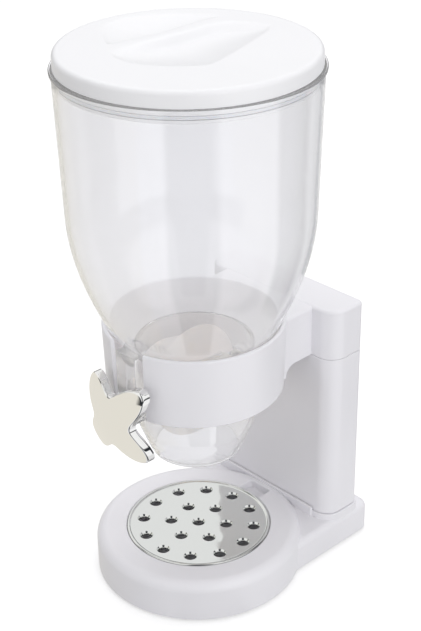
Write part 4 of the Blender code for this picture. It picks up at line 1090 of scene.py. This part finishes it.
@dataclass
class Hopper:
    """Clear canister: rim, funnel, paddle chamber, spout and two bearing bosses with their bushes."""

    palette: Palette
    shaft: float = 153.6
    rim_radius: float = 87.5
    rim_top: float = 383.5
    rim_thickness: float = 2.2
    wall: float = 2.5
    chamber: float = 45.0
    neck_radius: float = 42.8
    neck: float = 184.0
    outlet: float = 101.4
    outlet_radius: float = 32.2
    boss_half: float = 9.5
    boss_front: float = -62.5
    boss_rear: float = 53.0
    boss_top: float = 199.0
    bush_bore: float = 7.5
    shares: tuple[Point, ...] = ((0.14, 0.985), (0.36, 1.0), (0.56, 0.985), (0.70, 0.93), (0.80, 0.862),
                                 (0.89, 0.80), (0.96, 0.745))
    mouth: float = 86.2
    funnel: Point = (83.2, 285.0)
    waist: Point = (59.9, 203.6)

    def outside(self) -> list[Point]:
        """Outside of the wall below the rim, from top to bottom.

        Returns:
            Radius and height of each point.
        """
        top, low = (self.mouth, self.rim_top - self.rim_thickness), self.funnel
        line = [(top[0] + (low[0] - top[0]) * share, top[1] + (low[1] - top[1]) * share)
                for share in np.linspace(0, 1, 12)]
        line += bend(self.funnel, self.waist, ((0.03, 0.37), (0.45, 0.67)), 28)[1:]
        line += bend(self.waist, (self.neck_radius, self.neck), ((0.20, 0.36), (0.55, 0.84)), 12)[1:]
        height = self.neck - self.outlet
        chamber = [(self.neck_radius, self.neck)]
        chamber += [(self.chamber * width, self.neck - height * drop) for drop, width in self.shares]
        chamber += [(self.outlet_radius, self.outlet + 0.8)]
        return line + smooth_line(chamber, 40)[1:]

    def along_y(self, thing: Thing) -> Thing:
        """Turns a piece drawn along +Z so that it runs along +Y at the shaft's height."""
        return turned(thing, Matrix.Translation((0, 0, self.shaft)) @ Matrix.Rotation(-math.pi / 2, 4, "X"))

    def canister(self) -> Thing:
        """The clear moulding.

        Returns:
            The piece.
        """
        outside = self.outside()
        inside = moved_in(outside, -self.wall)
        inside[0] = (inside[0][0], self.rim_top)
        low, top = self.rim_top - self.rim_thickness, self.rim_top
        rim = rounded(((inside[0][0], low, 0), (inside[0][0], top, 0.5), (self.rim_radius, top, 0.8),
                       (self.rim_radius, low, 0.5), (outside[0][0], low, 0)), 5)
        lip = rounded(((self.outlet_radius, self.outlet + 0.8, 0), (self.outlet_radius, self.outlet, 0.7),
                       (self.outlet_radius - self.wall, self.outlet, 0.7),
                       (inside[-1][0], self.outlet + 1.2, 0)), 5)
        skin = rim[1:] + outside[1:-1] + lip[:-1] + inside[:0:-1]
        canister = lathe("clear_hopper", skin, FINE_STEPS, closed=True)
        middle = moved_in(outside, -self.wall / 2)
        room = [(0, middle[0][1])] + middle + [(0, middle[-1][1])]
        half = self.boss_half
        tower = rounded_box((-half, self.shaft - self.boss_top), (half, half), 1.2, half - 0.01, 14)
        front = prism("front_boss", tower, self.boss_front, -self.chamber + self.wall / 2, 0, 0.5)
        stub = drum_line(half, self.chamber - self.wall, self.boss_rear, (0, 0.6))
        for boss in (front, lathe("rear_boss", stub, 64)):
            join(canister, cut(self.along_y(boss), lathe("room", room, FINE_STEPS)))
        inner = self.chamber - 4.5
        for start, end in ((self.boss_front - 2, -inner), (inner, self.boss_rear - 2.5)):
            cut(canister, self.along_y(disc("bore", self.bush_bore, start, end, 64)))
        return canister

    def bush(self, name: str, bore: float, start: float, end: float) -> Thing:
        """Plain bearing sleeve with eased edges.

        Args:
            name: name of the piece.
            bore: radius of its bore.
            start: its front end along Y.
            end: its rear end along Y.

        Returns:
            The piece.
        """
        outside = self.bush_bore - 0.3
        profile = rounded(((bore, start, 0.2), (outside, start, 0.3), (outside, end, 0.3),
                           (bore, end, 0.2)), 3, closed=True)
        return self.along_y(lathe(name, profile, 56, closed=True))

    def build(self) -> None:
        """Makes and dresses the hopper's pieces."""
        finish_piece(self.canister(), Body.HOPPER, self.palette.clear, ["canister"], 40)
        for end, bore in (("front", 5.5), ("rear", 3.8)):
            low, high = (corner.y / MM - AXIS.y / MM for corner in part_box(f"{end}_bush"))
            bush = self.bush(f"{end}_bearing", bore, low, high)
            finish_piece(bush, Body.HOPPER, self.palette.acetal, [f"{end}_bush"])


@dataclass(frozen=True)
class FingerScoop:
    """Hollow in the lid beside the pinch ridge.

    Attributes:
        rim: open edge, in shares of the lid's radius.
        ridge: edge under the ridge, in shares of the lid's radius.
        depth: depth under the ridge, in millimetres.
        wall: width over which the ridge's side falls, in millimetres.
    """

    rim: tuple[Point, ...]
    ridge: tuple[Point, ...]
    depth: float
    wall: float

    def line(self, shares: Sequence[Point], radius: float) -> np.ndarray:
        """Smooth edge through its points."""
        return np.array(smooth_line([(x * radius, y * radius) for x, y in shares], 60))

    @staticmethod
    def distance(places: np.ndarray, line: np.ndarray) -> np.ndarray:
        """Distance of each place from an open line.

        Args:
            places: x and y of each place.
            line: points of the line.

        Returns:
            One distance for each place.
        """
        start, run = line[:-1], np.diff(line, axis=0)
        offset = places[:, None, :] - start[None, :, :]
        along = np.clip((offset * run).sum(2) / (run ** 2).sum(1), 0, 1)
        return np.linalg.norm(offset - along[..., None] * run, axis=2).min(1)

    @staticmethod
    def inside(places: np.ndarray, outline: np.ndarray) -> np.ndarray:
        """Whether each place lies inside a closed outline.

        Args:
            places: x and y of each place.
            outline: points of the outline.

        Returns:
            True for each place inside.
        """
        after = np.roll(outline, -1, axis=0)
        crosses = (outline[None, :, 1] > places[:, None, 1]) != (after[None, :, 1] > places[:, None, 1])
        rise = after[:, 1] - outline[:, 1]
        rise = np.where(np.abs(rise) < 1e-9, 1e-9, rise)
        level = (after[:, 0] - outline[:, 0]) * (places[:, None, 1] - outline[:, 1]) / rise + outline[:, 0]
        return (crosses & (places[:, None, 0] < level)).sum(1) % 2 == 1

    def drop(self, places: np.ndarray, radius: float) -> np.ndarray:
        """How far the lid's surface falls at each place.

        Args:
            places: x and y of each place, in millimetres.
            radius: radius of the lid.

        Returns:
            Depths in millimetres, 0 outside the scoop.
        """
        rim, ridge = self.line(self.rim, radius), self.line(self.ridge, radius)
        from_rim, from_ridge = self.distance(places, rim), self.distance(places, ridge)
        within = self.inside(places, np.vstack((rim, ridge[::-1])))
        width = from_rim + from_ridge
        part = from_rim / np.maximum(width, 1e-6)
        swell = np.sqrt(np.clip(width / width[within].max(), 0, 1))
        lip = np.clip(from_rim / 2.2, 0, 1)
        fall = np.clip(from_ridge / self.wall, 0, 1)
        fall = fall * fall * (3 - 2 * fall)
        bowl = self.depth * swell * np.sin(math.pi / 2 * part) ** 0.9
        return np.where(within, bowl * fall * lip * (2 - lip), 0)


@dataclass
class Lid:
    """Lid with a pinch grip between two scoops, and the silicone seal round its plug."""

    palette: Palette
    radius: float = 85.0
    top: float = 394.5
    seat: float = 383.8
    edge: float = 3.5
    plate: float = 2.8
    plug: float = 83.0
    plug_wall: float = 2.6
    plug_foot: float = 374.3
    seal_foot: float = 376.5
    seal_height: float = 3.0
    groove: float = 1.4
    gap: float = 0.3
    near: FingerScoop = FingerScoop(
        ((-0.31, -0.49), (-0.17, -0.545), (0.0, -0.54), (0.20, -0.44), (0.36, -0.29), (0.425, -0.16),
         (0.37, 0.07), (0.28, 0.35), (0.17, 0.64), (0.09, 0.80)),
        ((-0.31, -0.49), (-0.335, -0.36), (-0.32, -0.20), (-0.305, 0.0), (-0.29, 0.20), (-0.285, 0.40),
         (-0.265, 0.55), (-0.19, 0.66), (-0.05, 0.745), (0.09, 0.80)), 6.0, 11.0)
    far: FingerScoop = FingerScoop(
        ((-0.44, -0.40), (-0.62, -0.29), (-0.76, -0.18), (-0.84, -0.08), (-0.86, 0.04), (-0.85, 0.19),
         (-0.78, 0.34), (-0.67, 0.48), (-0.52, 0.60), (-0.33, 0.71)),
        ((-0.44, -0.40), (-0.43, -0.31), (-0.41, -0.19), (-0.385, -0.02), (-0.375, 0.14), (-0.38, 0.30),
         (-0.385, 0.44), (-0.38, 0.54), (-0.36, 0.63), (-0.33, 0.71)), 4.6, 5.0)

    def cap(self) -> Thing:
        """The lid, spun with fine rings on its top and underside, which then sink into the scoops.

        Returns:
            The piece.
        """
        underside = self.top - self.plate
        inner = self.plug - self.plug_wall
        groove = self.plug - self.groove
        high = self.seal_foot + self.seal_height
        flat = self.radius - self.edge
        plug = self.plug
        outer = rounded(((inner, underside, 0), (inner, self.plug_foot, 0.5), (plug, self.plug_foot, 0.8),
                         (plug, self.seal_foot, 0), (groove, self.seal_foot, 0), (groove, high, 0),
                         (plug, high, 0), (plug, self.seat, 0), (self.radius, self.seat, 0.5),
                         (self.radius, self.top, self.edge), (flat - 1, self.top, 0)), 8)
        below = [(radius, underside) for radius in np.linspace(0, inner, 64)]
        above = [(radius, self.top) for radius in np.linspace(flat - 1, 0, 96)]
        mesh = lathe_mesh(below[:-1] + outer + above[1:], 288)
        bmesh.ops.remove_doubles(mesh, verts=mesh.verts, dist=WELD)
        sheets = [corner for corner in mesh.verts
                  if min(abs(corner.co.z - self.top), abs(corner.co.z - underside)) < WELD
                  and math.hypot(corner.co.x, corner.co.y) < flat]
        places = np.array([corner.co.to_2d() for corner in sheets])
        drops = self.near.drop(places, self.radius) + self.far.drop(places, self.radius)
        for corner, drop in zip(sheets, drops):
            corner.co.z -= drop
        soft = [corner for corner in sheets if math.hypot(corner.co.x, corner.co.y) < flat - 4]
        for _ in range(3):
            bmesh.ops.smooth_vert(mesh, verts=soft, factor=0.5, use_axis_z=True)
        return place_mesh("lid_moulding", mesh)

    def seal(self) -> Thing:
        """Silicone ring with two soft lips.

        Returns:
            The piece.
        """
        inner = self.plug - self.groove + self.gap
        outer = self.plug + 0.4
        low, high = self.seal_foot + self.gap, self.seal_foot + self.seal_height - self.gap
        middle = (low + high) / 2
        profile = rounded(((inner, low, 0.2), (outer, low + 0.2, 0.5), (outer - 0.6, middle, 0.3),
                           (outer, high - 0.2, 0.5), (inner, high, 0.2)), 4, closed=True)
        return lathe("lid_seal_ring", profile, closed=True)

    def build(self) -> None:
        """Makes and dresses the lid and its seal."""
        finish_piece(self.cap(), Body.LID, self.palette.lid, ["lid"], 40)
        finish_piece(self.seal(), Body.LID, self.palette.seal, ["lid_seal"])


@dataclass
class PaddleWheel:
    """Knob, spindle, hub and six silicone paddles, which turn together."""

    palette: Palette
    hopper: Hopper
    knob_face: float = -79.9
    knob_tip: float = 35.8
    knob_valley: float = 18.5
    knob_power: float = 1.17
    knob_heading: float = math.radians(48.5)
    knob_dome: float = 10.0
    knob_depth: float = 6.5
    knob_wall: float = 2.2
    knob_edge: float = 1.1
    hub_front: float = -76.08
    core_radius: float = 9.0
    core_half: float = 32.0
    square_half: float = 3.6
    square_length: float = 34.0
    vane_radius: float = 40.5
    vane_thickness: float = 1.6
    vane_curl: float = 2.5
    vane_lean: float = math.radians(-7)
    vane_count: int = 6
    vane_ripple: float = 0.35
    root_half: float = 28.0
    root_thickness: float = 1.6
    root_foot: float = 6.4
    gap: float = 0.3

    def knob_radius(self, heading: float) -> float:
        """Radius of the knob's outline at a heading in its own plane."""
        swell = (1 + math.cos(4 * (heading - self.knob_heading))) / 2
        return self.knob_valley + (self.knob_tip - self.knob_valley) * swell ** self.knob_power

    def knob(self) -> Thing:
        """Domed shell with four lobes: a unit ring profile is spun and then drawn out to the lobed outline.

        Returns:
            The shell, hollow at the back.
        """
        edge, wall, depth = self.knob_edge, self.knob_wall, self.knob_depth
        rows: list[Corner] = [(share, 0, 0) for share in np.linspace(0, 1, 18)[:-1]]
        rows += [(1, edge * (1 - math.sin(angle)), edge * (1 - math.cos(angle)))
                 for angle in np.linspace(0, math.pi / 2, 7)]
        rows += [(1, 0, edge + (depth - 0.4 - edge) * share) for share in (0.35, 0.7, 1)]
        rows += [(1, 0.4, depth), (1, wall - 0.4, depth), (1, wall, depth - 0.4), (1, wall, wall + 0.8)]
        rows += [(1, wall + 0.3, wall)]
        rows += [(share, (wall + 0.3) * share, wall) for share in (0.85, 0.6, 0.3, 0)]
        profile = [(1 if share else 0, index) for index, (share, _, _) in enumerate(rows)]
        mesh = lathe_mesh(profile, 256)
        for corner in mesh.verts:
            share, inset, back = rows[round(corner.co.z)]
            heading = math.atan2(corner.co.y, corner.co.x)
            radius = max(0.0, self.knob_radius(heading) * share - inset) if share else 0.0
            y = self.knob_face + self.knob_dome * (radius / self.knob_tip) ** 2 + back
            corner.co = (radius * math.cos(heading), y, self.hopper.shaft + radius * math.sin(heading))
        return place_mesh("chrome_knob", mesh)

    def hub(self) -> Thing:
        """Insert that joins the hollow knob to the spindle.

        Returns:
            The piece.
        """
        front, rear, flange, sleeve, bore = self.hub_front, -63.3, 13.0, 8.2, 5.5
        back, end = front + 3, front + 1.8
        profile = rounded(((0, front, 0), (flange, front, 0.5), (flange, back, 0.5), (sleeve, back, 1.2),
                           (sleeve, rear, 0.6), (bore, rear, 0.2), (bore, end, 0), (0, end, 0)), 4)
        return self.hopper.along_y(lathe("knob_insert", profile, 64))

    def shaft(self) -> Thing:
        """Spindle: round at both ends, square through the wheel.

        Returns:
            The piece.
        """
        half, length = self.square_half, self.square_length
        outline = rounded_box((-half, -half), (half, half), 0.4, 0.4, 4)
        shaft, square, spigot = (self.hopper.along_y(part) for part in (
            lathe("spindle", drum_line(5.2, self.hub_front + 2.1, -length, (0.5, 0.3)), 56),
            prism("square", outline, -length - 2, length, 0.3),
            lathe("spigot", drum_line(3.5, length - 2, 49.9, (0, 0.5)), 40)))
        return join(join(shaft, square), spigot)

    def core(self) -> Thing:
        """Hub with eased ends, a square bore and a slot for each paddle.

        Returns:
            The piece.
        """
        end = self.core_half
        profile = drum_line(self.core_radius, -end, end, (1, 1), 5)
        core = self.hopper.along_y(lathe("wheel_hub", profile, 96))
        half = self.square_half + self.gap
        shaft = self.hopper.shaft
        cut(core, block("bore", (-half, -end - 2, shaft - half), (half, end + 2, shaft + half)))
        side = self.root_thickness / 2 + self.gap
        reach = self.root_half + self.gap
        low, high = (-side, -reach, self.root_foot - self.gap), (side, reach, self.core_radius + 2)
        slots = [self.about_shaft(block("slot", low, high), index) for index in range(self.vane_count)]
        return cut(core, grouped("slots", slots))

    def about_shaft(self, thing: Thing, index: int) -> Thing:
        """Turns a piece drawn standing over the origin to its place round the shaft.

        Args:
            thing: the piece.
            index: which of the paddles it belongs to, from zero.

        Returns:
            The piece in its place.
        """
        angle = self.vane_lean + index * FULL_TURN / self.vane_count
        lift = Matrix.Translation((0, 0, self.hopper.shaft))
        return turned(thing, lift @ Matrix.Rotation(angle, 4, "Y"))

    def vane(self, index: int) -> Thing:
        """Rounded silicone petal that curls towards its tip, on a root tab.

        Args:
            index: which of the paddles, counted from zero.

        Returns:
            The paddle in its place.
        """
        mesh = bmesh.new()
        grid = bmesh.ops.create_grid(mesh, x_segments=30, y_segments=18, size=1)["verts"]
        foot = self.core_radius + self.gap
        rise = self.vane_radius - foot
        for corner in grid:
            across, up = corner.co.x, (corner.co.y + 1) / 2
            height = foot + rise * math.sin(math.pi / 2 * up)
            reach = math.sqrt(max(self.vane_radius ** 2 - height ** 2, 10))
            share = (height - foot) / rise
            ripple = self.vane_ripple * math.sin(across * 5 + index) * share
            corner.co = (self.vane_curl * share ** 2 + ripple * (1 - across ** 2), reach * across, height)
        bmesh.ops.solidify(mesh, geom=mesh.faces[:], thickness=self.vane_thickness)
        bmesh.ops.recalc_face_normals(mesh, faces=mesh.faces)
        low = min(corner.co.x for corner in mesh.verts if corner.co.z < foot + 0.1)
        shift = -self.vane_thickness / 2 - low
        bmesh.ops.translate(mesh, verts=mesh.verts, vec=(shift, 0, 0))
        rim = [edge for edge in mesh.edges
               if len(edge.link_faces) == 2 and edge.calc_face_angle(0) > 1
               and max(end.co.z for end in edge.verts) > foot + 0.2]
        round_edges(mesh, rim, 0.45, 3)
        petal = place_mesh(f"paddle_{index + 1}", mesh)
        side, reach = self.root_thickness / 2, self.root_half
        join(petal, block("root", (-side, -reach, self.root_foot), (side, reach, foot + 1.5)))
        return self.about_shaft(petal, index)

    def build(self) -> None:
        """Makes and dresses the wheel's pieces."""
        finish_piece(self.knob(), Body.WHEEL, self.palette.knob, ["knob_shell"], 50)
        finish_piece(self.hub(), Body.WHEEL, self.palette.white, ["knob_hub"])
        finish_piece(self.shaft(), Body.WHEEL, self.palette.zinc, ["drive_shaft"])
        finish_piece(self.core(), Body.WHEEL, self.palette.acetal, ["wheel_core"])
        for index in range(self.vane_count):
            finish_piece(self.vane(index), Body.WHEEL, self.palette.silicone, [f"vane_{index + 1}"], 45)


@dataclass
class Studio:
    """Camera, pale floor and soft light.

    Attributes:
        heading: camera's place round the axis, from -Y towards +X, in degrees.
        distance: camera's distance from the axis, in metres.
        height: camera's height, in metres.
        swing: how far the camera looks away from the axis, in degrees.
        pitch: how far the camera looks down, in degrees.
        roll: how far the camera leans, in degrees.
        focal_pixels: focal length, in pixels of the image.
        image_height: height of the image, in pixels.
        panels: edge heading from the camera, in degrees, and colour of each painted reflection panel that
            the floor shows to glossy rays in place of its own colour.
        sky: the same for the panels above the floor.
        near: the same for the floor close to the object.
        horizon: the same for the gap between the floor and the panels.
        gap: rise of a direction over which the gap ends, as shares of its length.
        close: distances over which the near floor ends, in metres.
        paint: colour of the floor.
        glow: light that lifts the floor to white for the camera.
        painted_shade_glow_behind_clear: the same, behind clear plastic, dimmer there as painted shade of the
            plastic's walls.
        ambient: light from all round.
        painted_shade_behind_clear: colour of the backdrop behind clear plastic, greyer than white as painted
            shade of the plastic's walls.
        floor_half: half the side of the floor, in metres.
        sensor: height of the camera's sensor, in millimetres.
    """

    heading: float = 47.5
    distance: float = 0.86817
    height: float = 0.67121
    swing: float = -0.746
    pitch: float = 28.28
    roll: float = -0.946
    focal_pixels: float = 1444.66
    image_height: float = 631.0
    panels: Panels = (
        (-138, "#E8E4DA"), (-46, "#E8E4DA"), (-42, "#F9F9FA"), (-24, "#F9F9FA"), (-19, "#7A7B7F"),
        (19, "#7A7B7F"), (25, "#F9F9FA"), (74, "#F9F9FA"), (80, "#3A3C40"), (112, "#3A3C40"),
        (122, "#C8C9CC"), (146, "#C8C9CC"), (154, "#F1F1F1"), (180, "#F1F1F1"))
    sky: Panels = (
        (-110, "#F4F3F0"), (-107, "#26282B"), (-89, "#26282B"), (-86, "#F4F3F0"), (-21, "#F6F6F6"),
        (-17, "#4C4E52"), (17, "#4C4E52"), (21, "#F6F6F6"), (84, "#F6F6F6"), (87, "#26282B"),
        (108, "#26282B"), (112, "#B2B3B6"), (146, "#B2B3B6"), (154, "#F1F1F1"))
    near: Panels = (
        (-46, "#E8E4DA"), (-42, "#DDDDDE"), (-21, "#DDDDDE"), (-17, "#34363A"), (17, "#34363A"),
        (21, "#E4E4E5"))
    horizon: Panels = ((-142, "#2E3034"), (-138, "#E8E4DA"), (-56, "#E8E4DA"), (-52, "#2E3034"))
    gap: Point = (0.14, 0.2)
    close: Point = (0.2, 0.3)
    paint: str = "#D0D0D0"
    glow: str = "#BCBCBC"
    painted_shade_glow_behind_clear: str = "#8D8D93"
    ambient: str = "#D5D5D6"
    painted_shade_behind_clear: str = "#E1E1E4"
    floor_half: float = 6.0
    sensor: float = 36.0

    def camera(self) -> None:
        """Places the camera at the photograph's viewing angle."""
        turn = math.radians(self.heading)
        place = Vector((AXIS.x + math.sin(turn) * self.distance, AXIS.y - math.cos(turn) * self.distance,
                        self.height))
        look = turn + math.radians(self.swing)
        pitch = math.radians(self.pitch)
        ahead = Vector((-math.sin(look) * math.cos(pitch), math.cos(look) * math.cos(pitch),
                        -math.sin(pitch)))
        right = ahead.cross(Vector((0, 0, 1))).normalized()
        up = right.cross(ahead)
        basis = Matrix((right, up, -ahead)).transposed() @ Matrix.Rotation(math.radians(self.roll), 3, "Z")
        data = bpy.data.cameras.new("camera")
        data.sensor_fit = "VERTICAL"
        data.sensor_height = self.sensor
        data.lens = self.focal_pixels / self.image_height * data.sensor_height
        camera = bpy.data.objects.new("camera", data)
        camera.matrix_world = Matrix.Translation(place) @ basis.to_4x4()
        bpy.context.scene.collection.objects.link(camera)
        bpy.context.scene.camera = camera

    def panel_colour(self, tree: bpy.types.NodeTree, source: Socket, panels: Panels) -> Socket:
        """Colours a direction or place by the panel that stands at its heading round the object.

        Args:
            tree: node tree of the world or of the floor.
            source: direction or place.
            panels: the panels to choose from.

        Returns:
            The colour socket.
        """
        around = add_node(tree, "ShaderNodeTexGradient", links={"Vector": source}, gradient_type="RADIAL")
        stops = sorted((((self.heading - 90 + offset) / 360 + 0.5) % 1, code) for offset, code in panels)
        return ramp(tree, around.outputs["Fac"], stops)

    def mixed(self, share: Socket, first: Socket | str, second: Socket | str) -> Socket:
        """Mixes two colours, each a socket or an sRGB hex code, by a share from 0 to 1.

        Args:
            share: share of the second colour.
            first: first colour.
            second: second colour.

        Returns:
            The colour socket.
        """
        node = add_node(share.id_data, "ShaderNodeMix", {}, {0: share}, data_type="RGBA")
        for place, colour in ((6, first), (7, second)):
            if isinstance(colour, str):
                set_inputs(node, {place: (*linear(colour), 1)})
            else:
                set_inputs(node, {}, {place: colour})
        return node.outputs[2]

    def bounced(self, tree: bpy.types.NodeTree, kind: str) -> Socket:
        """Gives 1 where light has passed a surface of this kind on its way, and 0 elsewhere."""
        path = add_node(tree, "ShaderNodeLightPath").outputs
        return calculate(tree, "GREATER_THAN", path[f"{kind} Depth"], 0.5)

    def world(self) -> None:
        """Even ambient light, a white backdrop with painted shade behind clear plastic, where it is greyer,
        and panels to mirror.

        The panels stand a little above the floor, so that bright edges show a thin dark line.
        """
        world = bpy.data.worlds.new("studio")
        bpy.context.scene.world = world
        world.use_nodes = True
        tree = world.node_tree
        tree.nodes.clear()
        sky = add_node(tree, "ShaderNodeTexCoord").outputs["Generated"]
        height = add_node(tree, "ShaderNodeSeparateXYZ", links={"Vector": sky}).outputs["Z"]
        mirrored = self.mixed(map_range(tree, height, self.gap), self.panel_colour(tree, sky, self.horizon),
                              self.panel_colour(tree, sky, self.sky))
        # Painted shade: the backdrop seen through clear plastic is greyer than white, standing in for the
        # light that the plastic's walls hold back.
        backdrop = self.mixed(self.bounced(tree, "Transmission"), "#FFFFFF", self.painted_shade_behind_clear)
        seen = self.mixed(self.bounced(tree, "Glossy"), backdrop, mirrored)
        light = self.mixed(self.bounced(tree, "Diffuse"), seen, self.ambient)
        background = add_node(tree, "ShaderNodeBackground", links={"Color": light})
        add_node(tree, "ShaderNodeOutputWorld", links={"Surface": background.outputs["Background"]})

    def floor(self) -> None:
        """Pale matt floor that keeps the object's shadow and shows white past it, and shows painted
        reflection panels to glossy rays.
        """
        mesh = bmesh.new()
        bmesh.ops.create_grid(mesh, x_segments=1, y_segments=1, size=self.floor_half)
        floor = place_mesh("floor", mesh)
        material, tree, shader = blank_material("pale matt floor, painted board")
        path = add_node(tree, "ShaderNodeLightPath").outputs
        place = object_place(tree)
        reach = add_node(tree, "ShaderNodeVectorMath", {}, {0: place}, operation="LENGTH").outputs["Value"]
        # Painted reflection: glossy rays see glowing dark and pale panels on the floor, near and far, in
        # place of its own colour, so that the chrome mirrors them.
        mirrored = self.mixed(map_range(tree, reach, self.close), self.panel_colour(tree, place, self.near),
                              self.panel_colour(tree, place, self.panels))
        glossy = self.bounced(tree, "Glossy")
        # Painted shade: the floor's glow seen through clear plastic is dimmer, standing in for the light
        # that the plastic's walls hold back.
        plain = self.mixed(self.bounced(tree, "Transmission"), self.glow, self.painted_shade_glow_behind_clear)
        direct = calculate(tree, "MAXIMUM", path["Is Camera Ray"], path["Is Transmission Ray"])
        grain = map_range(tree, noise(tree, place, 8, 3), NOISE_MIDDLE, (0.85, 0.95))
        set_inputs(shader, {"Specular IOR Level": 0.0},
                   {"Base Color": self.mixed(glossy, self.paint, "#000000"), "Roughness": grain,
                    "Emission Color": self.mixed(glossy, plain, mirrored),
                    "Emission Strength": calculate(tree, "MAXIMUM", direct, glossy)})
        floor.data.materials.append(material)

    def lamp(self, name: str, place: Corner, size: float, power: float, aim: Corner = (0, 0, 0.18)) -> None:
        """Adds a soft square lamp.

        Args:
            name: name of the lamp.
            place: its centre, in metres.
            size: its side, in metres.
            power: its power, in watts.
            aim: point that it faces.
        """
        data = bpy.data.lights.new(name, "AREA")
        data.size = size
        data.energy = power
        lamp = bpy.data.objects.new(name, data)
        lamp.visible_glossy = False
        lamp.visible_transmission = False
        way = Vector(aim) - Vector(place)
        lamp.matrix_world = Matrix.Translation(place) @ way.to_track_quat("-Z", "Y").to_matrix().to_4x4()
        bpy.context.scene.collection.objects.link(lamp)

    def build(self) -> None:
        """Sets up the whole studio."""
        self.camera()
        self.world()
        self.floor()
        self.lamp("overhead softbox", (-0.4, 0.4, 1.65), 1.4, 9.9)
        self.lamp("front softbox", (1.3, -0.35, 0.6), 1.2, 6.8)
        bpy.context.scene.view_settings.view_transform = "Standard"


def dress_hidden_screws(palette: Palette) -> None:
    """Gives the screws inside the stand, whose CAD shape is right, their zinc finish.

    Args:
        palette: every finish.
    """
    for thing in bpy.data.objects:
        if thing.type == "MESH" and thing.name.startswith(("post_screw", "bracket_screw")):
            for slot in thing.material_slots:
                slot.material = palette.zinc


def main() -> None:
    """Builds the studio and every sub-assembly."""
    logging.basicConfig(level=logging.INFO, format="%(name)s: %(message)s")
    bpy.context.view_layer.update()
    palette = Palette.mixed()
    Studio().build()
    Stand(palette).build()
    CrumbTray(palette).build()
    hopper = Hopper(palette)
    hopper.build()
    Lid(palette).build()
    PaddleWheel(palette, hopper).build()
    dress_hidden_screws(palette)


if __name__ == "__main__":
    main()
